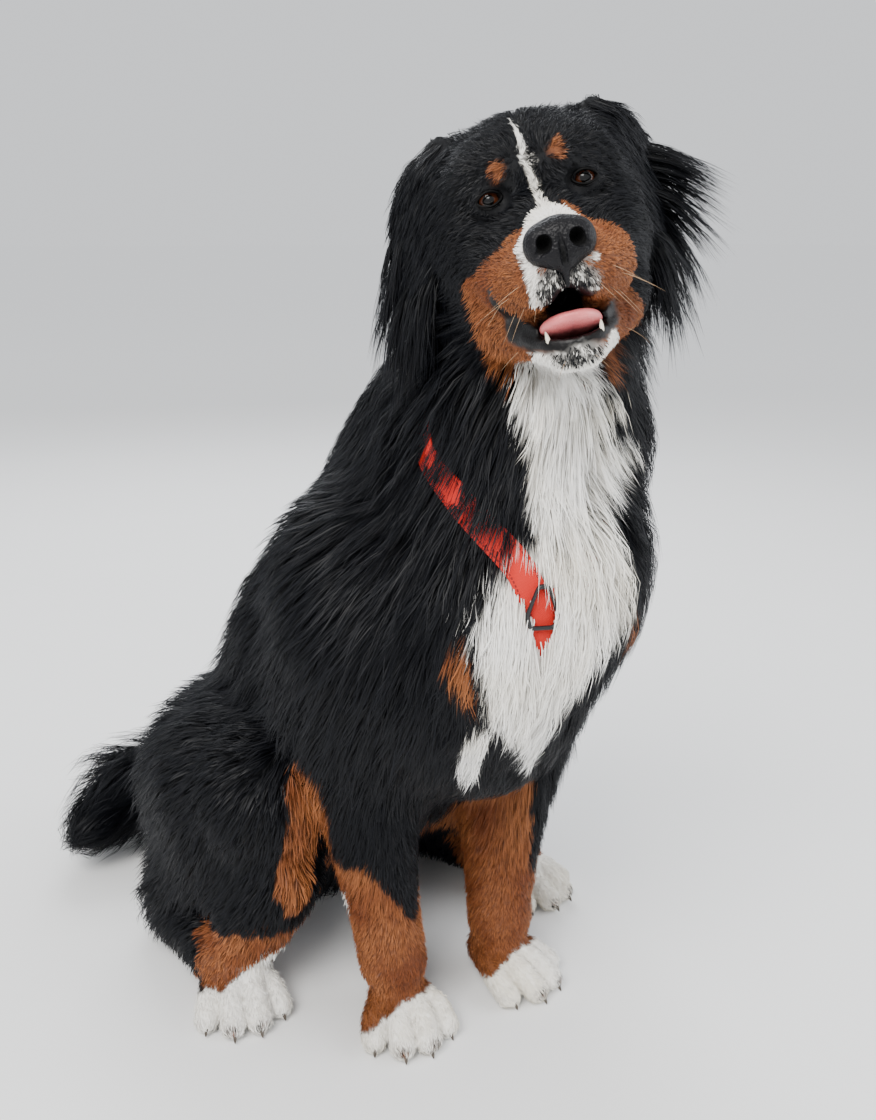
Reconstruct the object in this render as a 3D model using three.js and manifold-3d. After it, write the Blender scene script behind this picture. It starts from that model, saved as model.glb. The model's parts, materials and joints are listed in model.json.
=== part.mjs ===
// A life-size Bernese mountain dog that sits on the floor in a walking harness, in millimetres.
// +Z is up, the floor is z = 0, and the dog faces -Y, so its left side is +X.
// The body is one smooth blended form with two depths at every place, the flesh and the tips of
// the coat. It is parted into named pieces by thin cuts, each cast from the form at CORE of the
// coat's depth, and the long coat stands on these cores as flat, tapered locks that follow its lie.
import * as THREE from "three";
import Module from "manifold-3d";

const wasm = await Module();
wasm.setup();
const { Manifold, Mesh: SolidMesh } = wasm;

// Driving dimensions.
const GAP = 0.38; // left between touching pieces
const CORE = 0.45; // the part of the coat's depth that a core fills
const SEAT_Y = 400; // how far the middle of the seat lies behind the front toes
const PAW_SPREAD = 66; // half the distance between the front paws
const FRONT_PAW_Y = 50;
const HIND_SPREAD = 188; // half the distance between the hind paws
const HIND_PAW_Y = 172;
const PAW_TURN = 17; // degrees that the toes point outwards
const PASTERN = 60; // height of the cut between a paw and its leg
const ELBOW = 304;
const EYES_MID = [-51, -116, 803]; // the point midway between the eyes
const HEAD_LIFT = -3; // degrees, nose up
const HEAD_TILT = -13; // degrees, right ear down
const HEAD_TURN = -36; // degrees, to the dog's right
const EYE_APART = 34; // half the distance between the eyes
const EYE_R = 12.5;
const BODY_SHIFT = 4.5; // how far the faces of the trunk may lie from its form
const STRAP_W = 25;
const STRAP_T = 3;
const STRAP_LIFT = 2.2; // over the form under a strap, whose solid is coarser

// Fields.
// A field gives the distance to a surface at (x, y, z), less than zero inside it. Its last
// argument is the share of the coat's depth that is added to the flesh.
const clamp01 = (t) => Math.min(1, Math.max(0, t));

/** Distance to a chain of balls [x, y, z, radius, coat], joined by tapering stretches. */
function limb(stations) {
  const parts = stations.slice(1).map((b, i) => {
    const a = stations[i];
    const d = [b[0] - a[0], b[1] - a[1], b[2] - a[2]];
    const coat = [a[4] ?? 0, b[4] ?? 0];
    return { a, d, inv: 1 / (d[0] ** 2 + d[1] ** 2 + d[2] ** 2), dr: b[3] - a[3], coat };
  });
  return (x, y, z, share) => {
    let best = Infinity;
    for (const { a, d, inv, dr, coat } of parts) {
      const px = x - a[0];
      const py = y - a[1];
      const pz = z - a[2];
      const t = clamp01((px * d[0] + py * d[1] + pz * d[2]) * inv);
      const radius = a[3] + dr * t + share * (coat[0] + (coat[1] - coat[0]) * t);
      best = Math.min(best, Math.hypot(px - t * d[0], py - t * d[1], pz - t * d[2]) - radius);
    }
    return best;
  };
}

/** Distance to an egg with a centre, half axes and coat, turned about x by tip degrees. */
function egg([cx, cy, cz], [rx, ry, rz], coat = 0, tip = 0) {
  const c = Math.cos((tip * Math.PI) / 180);
  const s = Math.sin((tip * Math.PI) / 180);
  return (x, y, z, share) => {
    const px = x - cx;
    const py = (y - cy) * c + (z - cz) * s;
    const pz = (z - cz) * c - (y - cy) * s;
    const [a, b, h] = [rx + share * coat, ry + share * coat, rz + share * coat];
    const k0 = Math.hypot(px / a, py / b, pz / h);
    const k1 = Math.hypot(px / a ** 2, py / b ** 2, pz / h ** 2);
    return k1 > 0 ? (k0 * (k0 - 1)) / k1 : -Math.min(a, b, h);
  };
}

function softMin(k, a, b) {
  const h = Math.max(k - Math.abs(a - b), 0) / k;
  return Math.min(a, b) - (h * h * k) / 4;
}

/** Smooth union of fields over a blending width k. */
function blend(k, ...fields) {
  return (x, y, z, share) => {
    let value = fields[0](x, y, z, share);
    for (let i = 1; i < fields.length; i++) value = softMin(k, value, fields[i](x, y, z, share));
    return value;
  };
}

/** Each field blended with the base, but not with the other fields. */
function branch(k, base, ...fields) {
  return (x, y, z, share) => {
    const root = base(x, y, z, share);
    return Math.min(...fields.map((field) => softMin(k, root, field(x, y, z, share))));
  };
}

const mirrored = (field) => (x, y, z, share) => field(Math.abs(x), y, z, share);
const carved = (field, hole) => (x, y, z, share) =>
  Math.max(field(x, y, z, share), -hole(x, y, z, 0));

/** A short coat, which already stands at its tips where the long one is at its core. */
const short = (field) => (x, y, z, share) => field(x, y, z, Math.min(1, share / CORE));

/** A field given in the frame of a matrix, as a field in the outer frame. */
function placed(field, matrix) {
  const e = matrix.clone().invert().elements;
  return (x, y, z, share) =>
    field(
      e[0] * x + e[4] * y + e[8] * z + e[12],
      e[1] * x + e[5] * y + e[9] * z + e[13],
      e[2] * x + e[6] * y + e[10] * z + e[14],
      share,
    );
}

// Solids.
function solidOf(positions, triangles) {
  return new Manifold(
    new SolidMesh({
      numProp: 3,
      vertProperties: Float32Array.from(positions),
      triVerts: Uint32Array.from(triangles),
    }),
  );
}

/** Closed solid of a three.js geometry, whose corners are merged by place. */
function solidFrom(geometry, matrix = new THREE.Matrix4()) {
  const flat = (geometry.index ? geometry.toNonIndexed() : geometry.clone()).applyMatrix4(matrix);
  const at = flat.getAttribute("position");
  const seen = new Map();
  const positions = [];
  const triangles = [];
  for (let i = 0; i < at.count; i++) {
    const p = [at.getX(i), at.getY(i), at.getZ(i)];
    const key = p.map((v) => Math.round(v * 1000)).join(",");
    if (!seen.has(key)) {
      seen.set(key, positions.length / 3);
      positions.push(...p);
    }
    triangles.push(seen.get(key));
  }
  const kept = [];
  for (let i = 0; i < triangles.length; i += 3) {
    const [a, b, c] = triangles.slice(i, i + 3);
    if (a !== b && b !== c && a !== c) kept.push(a, b, c);
  }
  const made = solidOf(positions, kept);
  return made.volume() < 0 ? solidOf(positions, kept.reverse()) : made;
}

/** Merges neighbouring corners of a closed mesh as long as its faces shift by less than a distance. */
function thin(positions, triangles, shift, longest = Infinity) {
  const at = [];
  for (let i = 0; i < positions.length; i += 3) at.push(new THREE.Vector3(...positions.slice(i, i + 3)));
  const tris = [];
  for (let i = 0; i < triangles.length; i += 3) tris.push(triangles.slice(i, i + 3));
  const around = at.map(() => new Set());
  tris.forEach((tri, t) => tri.forEach((v) => around[v].add(t)));
  const cross = (a, b, c) => b.clone().sub(a).cross(c.clone().sub(a));
  // Each corner keeps the sum of its faces' planes, weighted by area: n n, n d, d d and the weight.
  const planes = at.map(() => new Float64Array(11));
  tris.forEach((tri) => {
    const normal = cross(...tri.map((v) => at[v]));
    const area = normal.length();
    const { x, y, z } = normal.normalize();
    const d = -normal.dot(at[tri[0]]);
    const terms = [x * x, x * y, x * z, y * y, y * z, z * z, x * d, y * d, z * d, d * d, 1];
    for (const v of tri) terms.forEach((term, i) => (planes[v][i] += term * area));
  });
  const costOf = (q, { x, y, z }) =>
    (q[0] * x * x + q[3] * y * y + q[5] * z * z + 2 * (q[1] * x * y + q[2] * x * z + q[4] * y * z)
      + 2 * (q[6] * x + q[7] * y + q[8] * z) + q[9]) / q[10];
  const bestPlace = (q, a, b) => {
    const mid = a.clone().add(b).multiplyScalar(0.5);
    const m = new THREE.Matrix3().set(q[0], q[1], q[2], q[1], q[3], q[4], q[2], q[4], q[5]);
    const options = [a.clone(), b.clone(), mid];
    if (Math.abs(m.determinant()) > 1e-4 * q[10] ** 3) {
      const free = new THREE.Vector3(-q[6], -q[7], -q[8]).applyMatrix3(m.invert());
      if (free.distanceTo(mid) < a.distanceTo(b)) options.push(free);
    }
    return options.reduce((u, v) => (costOf(q, v) < costOf(q, u) ? v : u));
  };
  const age = at.map(() => 0);
  const heap = [];
  const swap = (i, j) => ([heap[i], heap[j]] = [heap[j], heap[i]]);
  const push = (item) => {
    let i = heap.push(item) - 1;
    for (let up = (i - 1) >> 1; i > 0 && heap[i].cost < heap[up].cost; i = up, up = (i - 1) >> 1) swap(i, up);
  };
  const pop = () => {
    swap(0, heap.length - 1);
    const top = heap.pop();
    for (let i = 0; ; ) {
      let least = i;
      for (const c of [2 * i + 1, 2 * i + 2]) if (heap[c] && heap[c].cost < heap[least].cost) least = c;
      if (least === i) return top;
      swap(i, least);
      i = least;
    }
  };
  const offer = (a, b) => {
    const q = planes[a].map((v, i) => v + planes[b][i]);
    const place = bestPlace(q, at[a], at[b]);
    const cost = costOf(q, place) + 1e-6 * at[a].distanceToSquared(at[b]);
    if (cost < shift ** 2) push({ cost, a, b, q, place, ages: age[a] + age[b] });
  };
  const friends = (v) => new Set([...around[v]].flatMap((t) => tris[t]).filter((w) => w !== v));
  at.forEach((_, v) => friends(v).forEach((w) => v < w && offer(v, w)));
  while (heap.length > 0) {
    const { a, b, q, place, ages } = pop();
    if (!around[a] || !around[b] || age[a] + age[b] !== ages) continue;
    const shared = [...around[a]].filter((t) => around[b].has(t));
    const mates = friends(a);
    if (shared.length !== 2 || [...friends(b)].filter((v) => mates.has(v)).length !== 2) continue;
    const sound = [a, b].every((v) =>
      [...around[v]].every((t) => {
        if (shared.includes(t)) return true;
        const old = tris[t].map((w) => at[w]);
        const now = tris[t].map((w) => (w === v ? place : at[w]));
        const [was, is] = [cross(...old), cross(...now)];
        const sides = [0, 1, 2].map((i) => now[i].distanceTo(now[(i + 1) % 3]));
        const span = Math.max(...sides);
        return was.dot(is) > 0.5 * was.length() * is.length() && is.length() > 0.22 * span ** 2 && span < longest;
      }),
    );
    if (!sound) continue;
    at[a] = place;
    planes[a] = q;
    for (const t of shared) {
      tris[t].forEach((v) => around[v].delete(t));
      tris[t] = null;
    }
    for (const t of around[b]) {
      tris[t] = tris[t].map((v) => (v === b ? a : v));
      around[a].add(t);
    }
    around[b] = null;
    const ring = friends(a);
    age[a] += 1;
    ring.forEach((v) => offer(a, v));
  }
  const used = new Map();
  at.forEach((_, v) => around[v]?.size && used.set(v, used.size));
  return solidOf(
    [...used.keys()].flatMap((v) => at[v].toArray()),
    tris.filter(Boolean).flatMap((tri) => tri.map((v) => used.get(v))),
  );
}

/** Grid lines from low to high, a fine step apart between two places and a coarse one elsewhere. */
function lines(low, high, fine, [from, to] = [low, high], coarse = fine) {
  const at = [];
  const stretch = (start, end, cell) => {
    const count = end > start ? Math.max(1, Math.round((end - start) / cell)) : 0;
    for (let i = 0; i < count; i++) at.push(start + ((end - start) * i) / count + 1e-3);
  };
  stretch(low, from, coarse);
  stretch(from, to, fine);
  stretch(to, high, coarse);
  return [low - coarse / 2, ...at, high, high + coarse / 2];
}

/** The surface of a field, cast on a grid given by its three lists of lines, as a closed solid. */
function cast(field, grids, shift, { share = CORE, longest = 90 } = {}) {
  const n = grids.map((list) => list.length);
  const low = grids.map((list) => (list[0] + list[1]) / 2);
  const high = grids.map((list) => (list[list.length - 2] + list[list.length - 1]) / 2);
  const mid = low.map((v, i) => (v + high[i]) / 2);
  const half = low.map((v, i) => (high[i] - v) / 2);
  const value = (x, y, z) => {
    const out = Math.max(
      Math.abs(x - mid[0]) - half[0],
      Math.abs(y - mid[1]) - half[1],
      Math.abs(z - mid[2]) - half[2],
    );
    return Math.max(field(x, y, z, share), out);
  };
  const at = (i, k) => grids[k][i];
  const index = (i, j, k) => (i * n[1] + j) * n[2] + k;
  const grid = new Float64Array(n[0] * n[1] * n[2]);
  for (let i = 0; i < n[0]; i++)
    for (let j = 0; j < n[1]; j++)
      for (let k = 0; k < n[2]; k++) grid[index(i, j, k)] = value(at(i, 0), at(j, 1), at(k, 2));
  const corner = [0, 1, 2, 3, 4, 5, 6, 7].map((c) => [c & 1, (c >> 1) & 1, (c >> 2) & 1]);
  const eachCell = (visit) => {
    for (let i = 0; i + 1 < n[0]; i++)
      for (let j = 0; j + 1 < n[1]; j++) for (let k = 0; k + 1 < n[2]; k++) visit(i, j, k);
  };
  // Corners that touch only across a face or a cell are filled in, so the surface never pinches.
  const faces = [
    [0, 1, 2, 3],
    [4, 5, 6, 7],
    [0, 1, 4, 5],
    [2, 3, 6, 7],
    [0, 2, 4, 6],
    [1, 3, 5, 7],
  ];
  let filled = true;
  while (filled) {
    filled = false;
    eachCell((i, j, k) => {
      const spot = corner.map(([a, b, c]) => index(i + a, j + b, k + c));
      const isIn = spot.map((s) => grid[s] < 0);
      const fill = (c) => {
        grid[spot[c]] = -0.2;
        isIn[c] = true;
        filled = true;
      };
      for (const [a, b, c, d] of faces) {
        if (isIn[a] !== isIn[d] || isIn[b] !== isIn[c] || isIn[a] === isIn[b]) continue;
        const [p, q] = isIn[a] ? [b, c] : [a, d];
        fill(grid[spot[p]] < grid[spot[q]] ? p : q);
      }
      const count = isIn.filter(Boolean).length;
      for (let c = 0; c < 4; c++) {
        if (count === 2 && isIn[c] && isIn[7 - c]) fill(c ^ 1);
        if (count === 6 && !isIn[c] && !isIn[7 - c]) fill(c);
      }
    });
  }
  const edges = [];
  for (let a = 0; a < 8; a++)
    for (const bit of [1, 2, 4]) if (!(a & bit)) edges.push([a, a | bit]);
  const vertexOf = new Map();
  const positions = [];
  eachCell((i, j, k) => {
    const v = corner.map(([a, b, c]) => grid[index(i + a, j + b, k + c)]);
    const inside = v.filter((t) => t < 0).length;
    if (inside === 0 || inside === 8) return;
    const sum = [0, 0, 0];
    let count = 0;
    for (const [a, b] of edges) {
      if (v[a] < 0 === v[b] < 0) continue;
      const t = v[a] / (v[a] - v[b]);
      for (let m = 0; m < 3; m++) sum[m] += corner[a][m] + t * (corner[b][m] - corner[a][m]);
      count++;
    }
    const base = [i, j, k].map((s, m) => at(s, m));
    const size = [i, j, k].map((s, m) => at(s + 1, m) - at(s, m));
    const p = base.map((b, m) => b + (sum[m] / count) * size[m]);
    for (let step = 0; step < 3; step++) {
      const e = 0.5;
      const f = value(...p);
      const g = [
        value(p[0] + e, p[1], p[2]) - value(p[0] - e, p[1], p[2]),
        value(p[0], p[1] + e, p[2]) - value(p[0], p[1] - e, p[2]),
        value(p[0], p[1], p[2] + e) - value(p[0], p[1], p[2] - e),
      ].map((t) => t / (2 * e));
      const steep = Math.max(0.2, g[0] ** 2 + g[1] ** 2 + g[2] ** 2);
      for (let m = 0; m < 3; m++) {
        const share01 = (p[m] - (g[m] * f) / steep - base[m]) / size[m];
        p[m] = base[m] + size[m] * Math.min(0.97, Math.max(0.03, share01));
      }
    }
    vertexOf.set(index(i, j, k), positions.length / 3);
    positions.push(...p);
  });
  const triangles = [];
  const point = (v) => positions.slice(v * 3, v * 3 + 3);
  const apart = (a, b) => Math.hypot(...point(a).map((t, m) => t - point(b)[m]));
  const quad = (a, b, c, d, flip) => {
    const [p, q, r, s] = flip ? [d, c, b, a] : [a, b, c, d];
    if (apart(p, r) < apart(q, s)) triangles.push(p, q, r, p, r, s);
    else triangles.push(p, q, s, q, r, s);
  };
  eachCell((i, j, k) => {
    const here = grid[index(i, j, k)] < 0;
    const v = (a, b, c) => vertexOf.get(index(i - a, j - b, k - c));
    if (here !== grid[index(i + 1, j, k)] < 0)
      quad(v(0, 1, 1), v(0, 0, 1), v(0, 0, 0), v(0, 1, 0), !here);
    if (here !== grid[index(i, j + 1, k)] < 0)
      quad(v(1, 0, 1), v(1, 0, 0), v(0, 0, 0), v(0, 0, 1), !here);
    if (here !== grid[index(i, j, k + 1)] < 0)
      quad(v(1, 1, 0), v(0, 1, 0), v(0, 0, 0), v(1, 0, 0), !here);
  });
  return thin(positions, triangles, shift, longest);
}

/** Only the largest closed body of a solid. */
function largest(solid) {
  const bodies = solid.decompose();
  return bodies.reduce((a, b) => (b.volume() > a.volume() ? b : a));
}

/** A three.js geometry of a solid. */
function geometryOf(solid) {
  const m = solid.getMesh();
  const geometry = new THREE.BufferGeometry();
  const at = new Float32Array(m.numVert * 3);
  for (let i = 0; i < m.numVert; i++) {
    at.set(m.vertProperties.subarray(i * m.numProp, i * m.numProp + 3), i * 3);
  }
  geometry.setAttribute("position", new THREE.BufferAttribute(at, 3));
  geometry.setIndex(new THREE.BufferAttribute(new Uint32Array(m.triVerts), 1));
  return geometry;
}

/** A solid whose surface stands out by a small distance all round. */
function swell(solid, by = GAP - 0.08) {
  const m = solid.getMesh();
  const at = (v) => new THREE.Vector3(...m.vertProperties.subarray(v * m.numProp, v * m.numProp + 3));
  const normals = Array.from({ length: m.numVert }, () => []);
  for (let i = 0; i < m.triVerts.length; i += 3) {
    const tri = [...m.triVerts.subarray(i, i + 3)];
    const [a, b, c] = tri.map(at);
    const normal = b.sub(a).cross(c.sub(a)).normalize();
    for (const v of tri) normals[v].push(normal);
  }
  const positions = [];
  for (let v = 0; v < m.numVert; v++) {
    const mean = new THREE.Vector3();
    for (const normal of normals[v]) mean.add(normal);
    mean.normalize();
    const least = Math.min(...normals[v].map((normal) => normal.dot(mean)));
    positions.push(...at(v).addScaledVector(mean, by / Math.max(0.3, least)));
  }
  return solidOf(positions, m.triVerts);
}

/** Everything on the side of a plane that its normal points to. */
function half([x, y, z], [nx, ny, nz]) {
  const size = 1600;
  const turn = new THREE.Matrix4().makeRotationFromQuaternion(
    new THREE.Quaternion().setFromUnitVectors(
      new THREE.Vector3(0, 0, 1),
      new THREE.Vector3(nx, ny, nz).normalize(),
    ),
  );
  const box = new THREE.BoxGeometry(size, size, size).translate(0, 0, size / 2);
  return solidFrom(box, turn.setPosition(x, y, z));
}

/** A straight tapering sleeve from one point to another. */
function sleeve(a, b, ra, rb, sides = 12) {
  const from = new THREE.Vector3(...a);
  const to = new THREE.Vector3(...b);
  const along = to.clone().sub(from);
  const tube = new THREE.CylinderGeometry(rb, ra, along.length(), sides);
  const turn = new THREE.Quaternion().setFromUnitVectors(
    new THREE.Vector3(0, 1, 0),
    along.clone().normalize(),
  );
  const matrix = new THREE.Matrix4().makeRotationFromQuaternion(turn);
  return solidFrom(tube, matrix.setPosition(from.add(to).multiplyScalar(0.5)));
}

/** A closed solid through rings of corners that turn left about the way they go, or a closed band. */
function loft(rings, closed = false, tip = null) {
  const sides = rings[0].length;
  const positions = rings.flat().flatMap((p) => p.toArray());
  const triangles = [];
  const spans = closed ? rings.length : rings.length - 1;
  for (let i = 0; i < spans; i++) {
    for (let j = 0; j < sides; j++) {
      const a = i * sides + j;
      const b = i * sides + ((j + 1) % sides);
      const [c, d] = [a, b].map((v) => (v + sides) % (rings.length * sides));
      const apart = (u, v) =>
        Math.hypot(...[0, 1, 2].map((m) => positions[u * 3 + m] - positions[v * 3 + m]));
      if (apart(a, d) < apart(b, c)) triangles.push(a, b, d, a, d, c);
      else triangles.push(a, b, c, b, d, c);
    }
  }
  const last = (rings.length - 1) * sides;
  if (!closed) {
    for (let j = 1; j + 1 < sides; j++) {
      triangles.push(0, j + 1, j);
      if (!tip) triangles.push(last, last + j, last + j + 1);
    }
  }
  if (tip) {
    positions.push(...tip.toArray());
    for (let j = 0; j < sides; j++) triangles.push(last + j, last + ((j + 1) % sides), last + sides);
  }
  const solid = solidOf(positions, triangles);
  return solid.volume() < 0 ? solidOf(positions, triangles.reverse()) : solid;
}

/** Outward direction of a field at a point. */
function normalOf(field, p, share) {
  const e = 1.5;
  return new THREE.Vector3(
    field(p.x + e, p.y, p.z, share) - field(p.x - e, p.y, p.z, share),
    field(p.x, p.y + e, p.z, share) - field(p.x, p.y - e, p.z, share),
    field(p.x, p.y, p.z + e, share) - field(p.x, p.y, p.z - e, share),
  ).normalize();
}

/** Moves a point along a field's slope until it stands at a height over the field's surface. */
function settle(field, p, share, height = 0) {
  for (let i = 0; i < 5; i++) {
    p.addScaledVector(normalOf(field, p, share), height - field(p.x, p.y, p.z, share));
  }
  return p;
}

// The body's form.
const TRUNK_FLAT = 0.94; // its width over its depth
const trunkRound = limb([
  [0, 5, 452, 88, 42],
  [0, 85, 425, 128, 42],
  [0, 190, 335, 128, 44],
  [0, 280, 240, 120, 46],
  [0, 372, 128, 120, 38],
]);
const trunk = (x, y, z, share) => trunkRound(x / TRUNK_FLAT, y, z, share) * TRUNK_FLAT;
const shoulders = mirrored(
  limb([
    [30, 124, 526, 36, 36],
    [70, 95, 480, 66, 38],
    [80, 62, 420, 64, 36],
    [84, 95, 335, 50, 30],
  ]),
);
const chest = limb([
  [0, -38, 500, 70, 52],
  [0, -40, 440, 64, 52],
  [0, 0, 370, 58, 40],
]);
const neckForm = limb([
  [2, 94, 540, 84, 36],
  [20, 20, 620, 72, 36],
  [24, -26, 700, 64, 34],
  [14, -30, 762, 56, 24],
]);
const ruff = limb([
  [62, -6, 748, 32, 28],
  [84, -6, 670, 42, 38],
  [84, 6, 590, 50, 40],
]);
const throat = limb([
  [-2, -20, 560, 66, 50],
  [-16, -62, 650, 50, 44],
]);
const forelegForm = mirrored(
  limb([
    [86, 95, 335, 46, 28],
    [82, 88, 250, 40, 14],
    [72, 72, 130, 33, 5],
    [68, 62, 70, 33, 3],
  ]),
);
const thighForm = mirrored(
  blend(
    40,
    limb([
      [100, 335, 170, 96, 34],
      [128, 240, 210, 88, 26],
      [148, 172, 235, 62, 12],
    ]),
    limb([
      [148, 172, 235, 56, 12],
      [160, 250, 130, 50, 20],
      [166, 325, 48, 42, 12],
      [176, 235, 38, 33, 4],
      [184, 190, 36, 32, 2],
    ]),
  ),
);

/** A paw in its own frame: toes towards -Y, sole on z = 0. */
const pawForm = blend(
  12,
  limb([
    [0, 24, 29, 30, 2],
    [0, -8, 28, 31, 2],
  ]),
  mirrored(
    limb([
      [9, 4, 30, 17, 2],
      [11, -46, 17, 19, 2],
    ]),
  ),
  mirrored(
    limb([
      [22, 10, 28, 16, 2],
      [32, -28, 16, 18, 2],
    ]),
  ),
);
const pawFrame = (side, x, y) =>
  new THREE.Matrix4().makeRotationZ((side * PAW_TURN * Math.PI) / 180).setPosition(side * x, y, 0);
const frontPaw = mirrored(placed(pawForm, pawFrame(1, PAW_SPREAD, FRONT_PAW_Y)));
const hindPaw = mirrored(placed(pawForm, pawFrame(1, HIND_SPREAD, HIND_PAW_Y)));

const TAIL = [
  [0, 440, 140, 38, 26],
  [-14, 515, 96, 26, 46],
  [-88, 566, 76, 22, 60],
  [-165, 558, 74, 18, 58],
  [-214, 525, 62, 8, 38],
];

const torsoForm = blend(60, trunk, shoulders, chest);
const bodyForm = branch(
  30,
  torsoForm,
  blend(40, neckForm, throat, ruff),
  blend(16, forelegForm, frontPaw),
  blend(16, thighForm, hindPaw),
  limb(TAIL),
);

// The head's form, in its own frame.
// The head's frame has its origin midway between the eyes, the muzzle towards -Y.
const head = new THREE.Group();
head.position.set(...EYES_MID);
const degrees = [HEAD_LIFT, HEAD_TILT, HEAD_TURN].map((v) => THREE.MathUtils.degToRad(v));
head.rotation.set(...degrees, "ZXY");
head.updateMatrixWorld(true);
const headMatrix = head.matrixWorld.clone();
const headInverse = headMatrix.clone().invert();

const cranium = blend(
  26,
  egg([0, 72, 8], [66, 82, 52], 6),
  mirrored(egg([44, 46, -36], [30, 46, 44], 8)),
  mirrored(
    limb([
      [18, -2, 14, 17, 2],
      [38, 16, 16, 18, 2],
    ]),
  ),
  limb([
    [0, 112, -14, 58, 12],
    [0, 50, -50, 52, 16],
  ]),
);
const muzzle = blend(
  14,
  limb([
    [0, 4, -30, 28, 2],
    [0, -50, -40, 24, 2],
    [0, -86, -44, 21, 2],
  ]),
  mirrored(
    limb([
      [36, -4, -50, 23, 3],
      [30, -44, -60, 23, 2],
      [17, -80, -60, 20, 2],
    ]),
  ),
);
const sockets = mirrored(egg([EYE_APART + 2, -18, -1], [17, 16, 11]));
const lids = mirrored(egg([EYE_APART, 1, 0], [EYE_R + 3, EYE_R + 3.5, EYE_R + 1]));
const lidGap = mirrored(egg([EYE_APART + 1, -14, 0], [10.5, 13, 5.6]));
const jawForm = blend(
  12,
  limb([
    [0, -72, -114, 11, 2],
    [0, -40, -108, 20, 2],
    [0, 10, -92, 34, 8],
  ]),
  mirrored(
    limb([
      [10, -74, -112, 10, 2],
      [30, -36, -98, 15, 2],
      [40, 10, -84, 24, 6],
    ]),
  ),
);
const lowerLip = mirrored(
  limb([
    [3, -81, -107, 6],
    [17, -75, -105, 6],
    [27, -58, -97, 6],
  ]),
);
const mouthGap = egg([0, -80, -89], [28, 56, 16], 0, -14);
const lipLine = mirrored(
  limb([
    [24, -84, -94, 4],
    [40, -56, -92, 4],
    [53, -26, -68, 3.5],
    [56, -14, -60, 2],
  ]),
);
const skullForm = blend(16, carved(blend(26, cranium, muzzle), sockets), jawForm);
const headForm = short(blend(6, blend(8, skullForm, lowerLip), lids));
const wholeForm = blend(30, bodyForm, placed(headForm, headMatrix));
const faceForm = [mouthGap, lipLine, lidGap].reduce(carved, placed(wholeForm, headInverse));

// Cells that part the form.
const inHead = (x, y, z) => new THREE.Vector3(x, y, z).applyMatrix4(headMatrix).toArray();
const alongHead = (x, y, z) => new THREE.Vector3(x, y, z).transformDirection(headMatrix).toArray();
const NECK_TOP = { at: inHead(0, 118, -60), along: alongHead(0, -0.62, 0.78) };
const CHIN = { at: inHead(0, 0, -136), along: alongHead(0, -0.12, 1) };
const NECK_FOOT = { at: [0, 60, 560], along: [0, -0.45, 0.9] };
const TAIL_ROOT = { at: [0, 475, 120], along: [-0.1, 0.8, -0.6] };
const TAIL_MIDDLE = { at: [-92, 562, 62], along: [-0.95, 0.3, 0] };
const MOUTH = { at: [0, -88, -90], along: [0, 0.355, -0.935] };
const JAW_BACK = { at: [0, -46, -90], along: [0, -1, 0] };
const JAW_WIDTH = 66;

/** The side of a plane that it points to, and a little more where by is more than zero. */
const side = ({ at, along }, by = 0) =>
  half(
    at.map((v, i) => v - along[i] * by),
    along,
  );
const legSleeve = (by = 0) => sleeve([94, 98, ELBOW + by], [68, 60, -60], 66 + by, 60 + by);
const thighBlock = (by = 0) =>
  half([88 - by, 300, 200], [1, -0.12, 0]).intersect(
    solidFrom(new THREE.BoxGeometry(400, 420 + 2 * by, 345 + 2 * by).translate(200, 292, 140)),
  );
const pawBlock = (x, y, by = 0) =>
  solidFrom(
    new THREE.BoxGeometry(140 + 2 * by, 190 + 2 * by, 2 * (PASTERN + by)),
    pawFrame(1, x, y),
  );
const tailTube = (by = 0) => {
  const grid = [lines(-320, 120, 20), lines(380, 680, 20), lines(-60, 260, 20)];
  const form = limb(TAIL.map(([x, y, z, r, coat]) => [x, y, z, r + 6 + by, coat]));
  return cast(form, grid, 5, { share: 1 }).intersect(side(TAIL_ROOT, by));
};
const above = half([0, 0, 0], [0, 0, 1]);

// Nodes.
const material = (colour, roughness) => new THREE.MeshStandardMaterial({ color: colour, roughness });
const BLACK = material(0x17181c, 0.6);
const WHITE = material(0xeeece6, 0.7);
const RUST = material(0x8a4a22, 0.65);
const LEATHER = material(0x24242a, 0.35);
const IRIS = material(0x2a1710, 0.1);
const PINK = material(0xd06a78, 0.4);
const ORANGE = material(0xf2471e, 0.6);

const dog = new THREE.Group();
dog.position.set(0, -SEAT_Y, 0);
dog.add(head);
const made = [];

/** A solid without another one and a thin gap round it. */
function cutClear(solid, { solid: other, grown }) {
  const left = solid.subtract(grown);
  if (left.intersect(other).volume() < 1e-3) return left;
  const shifts = [-GAP, GAP].flatMap((d) => [
    [d, 0, 0],
    [0, d, 0],
    [0, 0, d],
  ]);
  return shifts.reduce((rest, shift) => rest.subtract(other.translate(shift)), left.subtract(other));
}

/** Adds a node, cut clear of all the nodes before it, of which only the largest body is kept. */
function add(name, solid, finish, parent = dog) {
  const box = solid.boundingBox();
  const near = made.filter(({ box: other }) =>
    [0, 1, 2].every((m) => box.min[m] <= other.max[m] && other.min[m] <= box.max[m]),
  );
  const clear = largest(near.reduce(cutClear, solid));
  const grown = swell(clear);
  made.push({ name, solid: clear, grown, box: grown.boundingBox() });
  const local = parent === head ? clear.transform([...headInverse.elements]) : clear;
  const mesh = new THREE.Mesh(geometryOf(local), finish);
  mesh.name = name;
  parent.add(mesh);
}
const toWorld = (solid) => solid.transform([...headMatrix.elements]);
const flip = (solid) => solid.mirror([1, 0, 0]);

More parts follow.
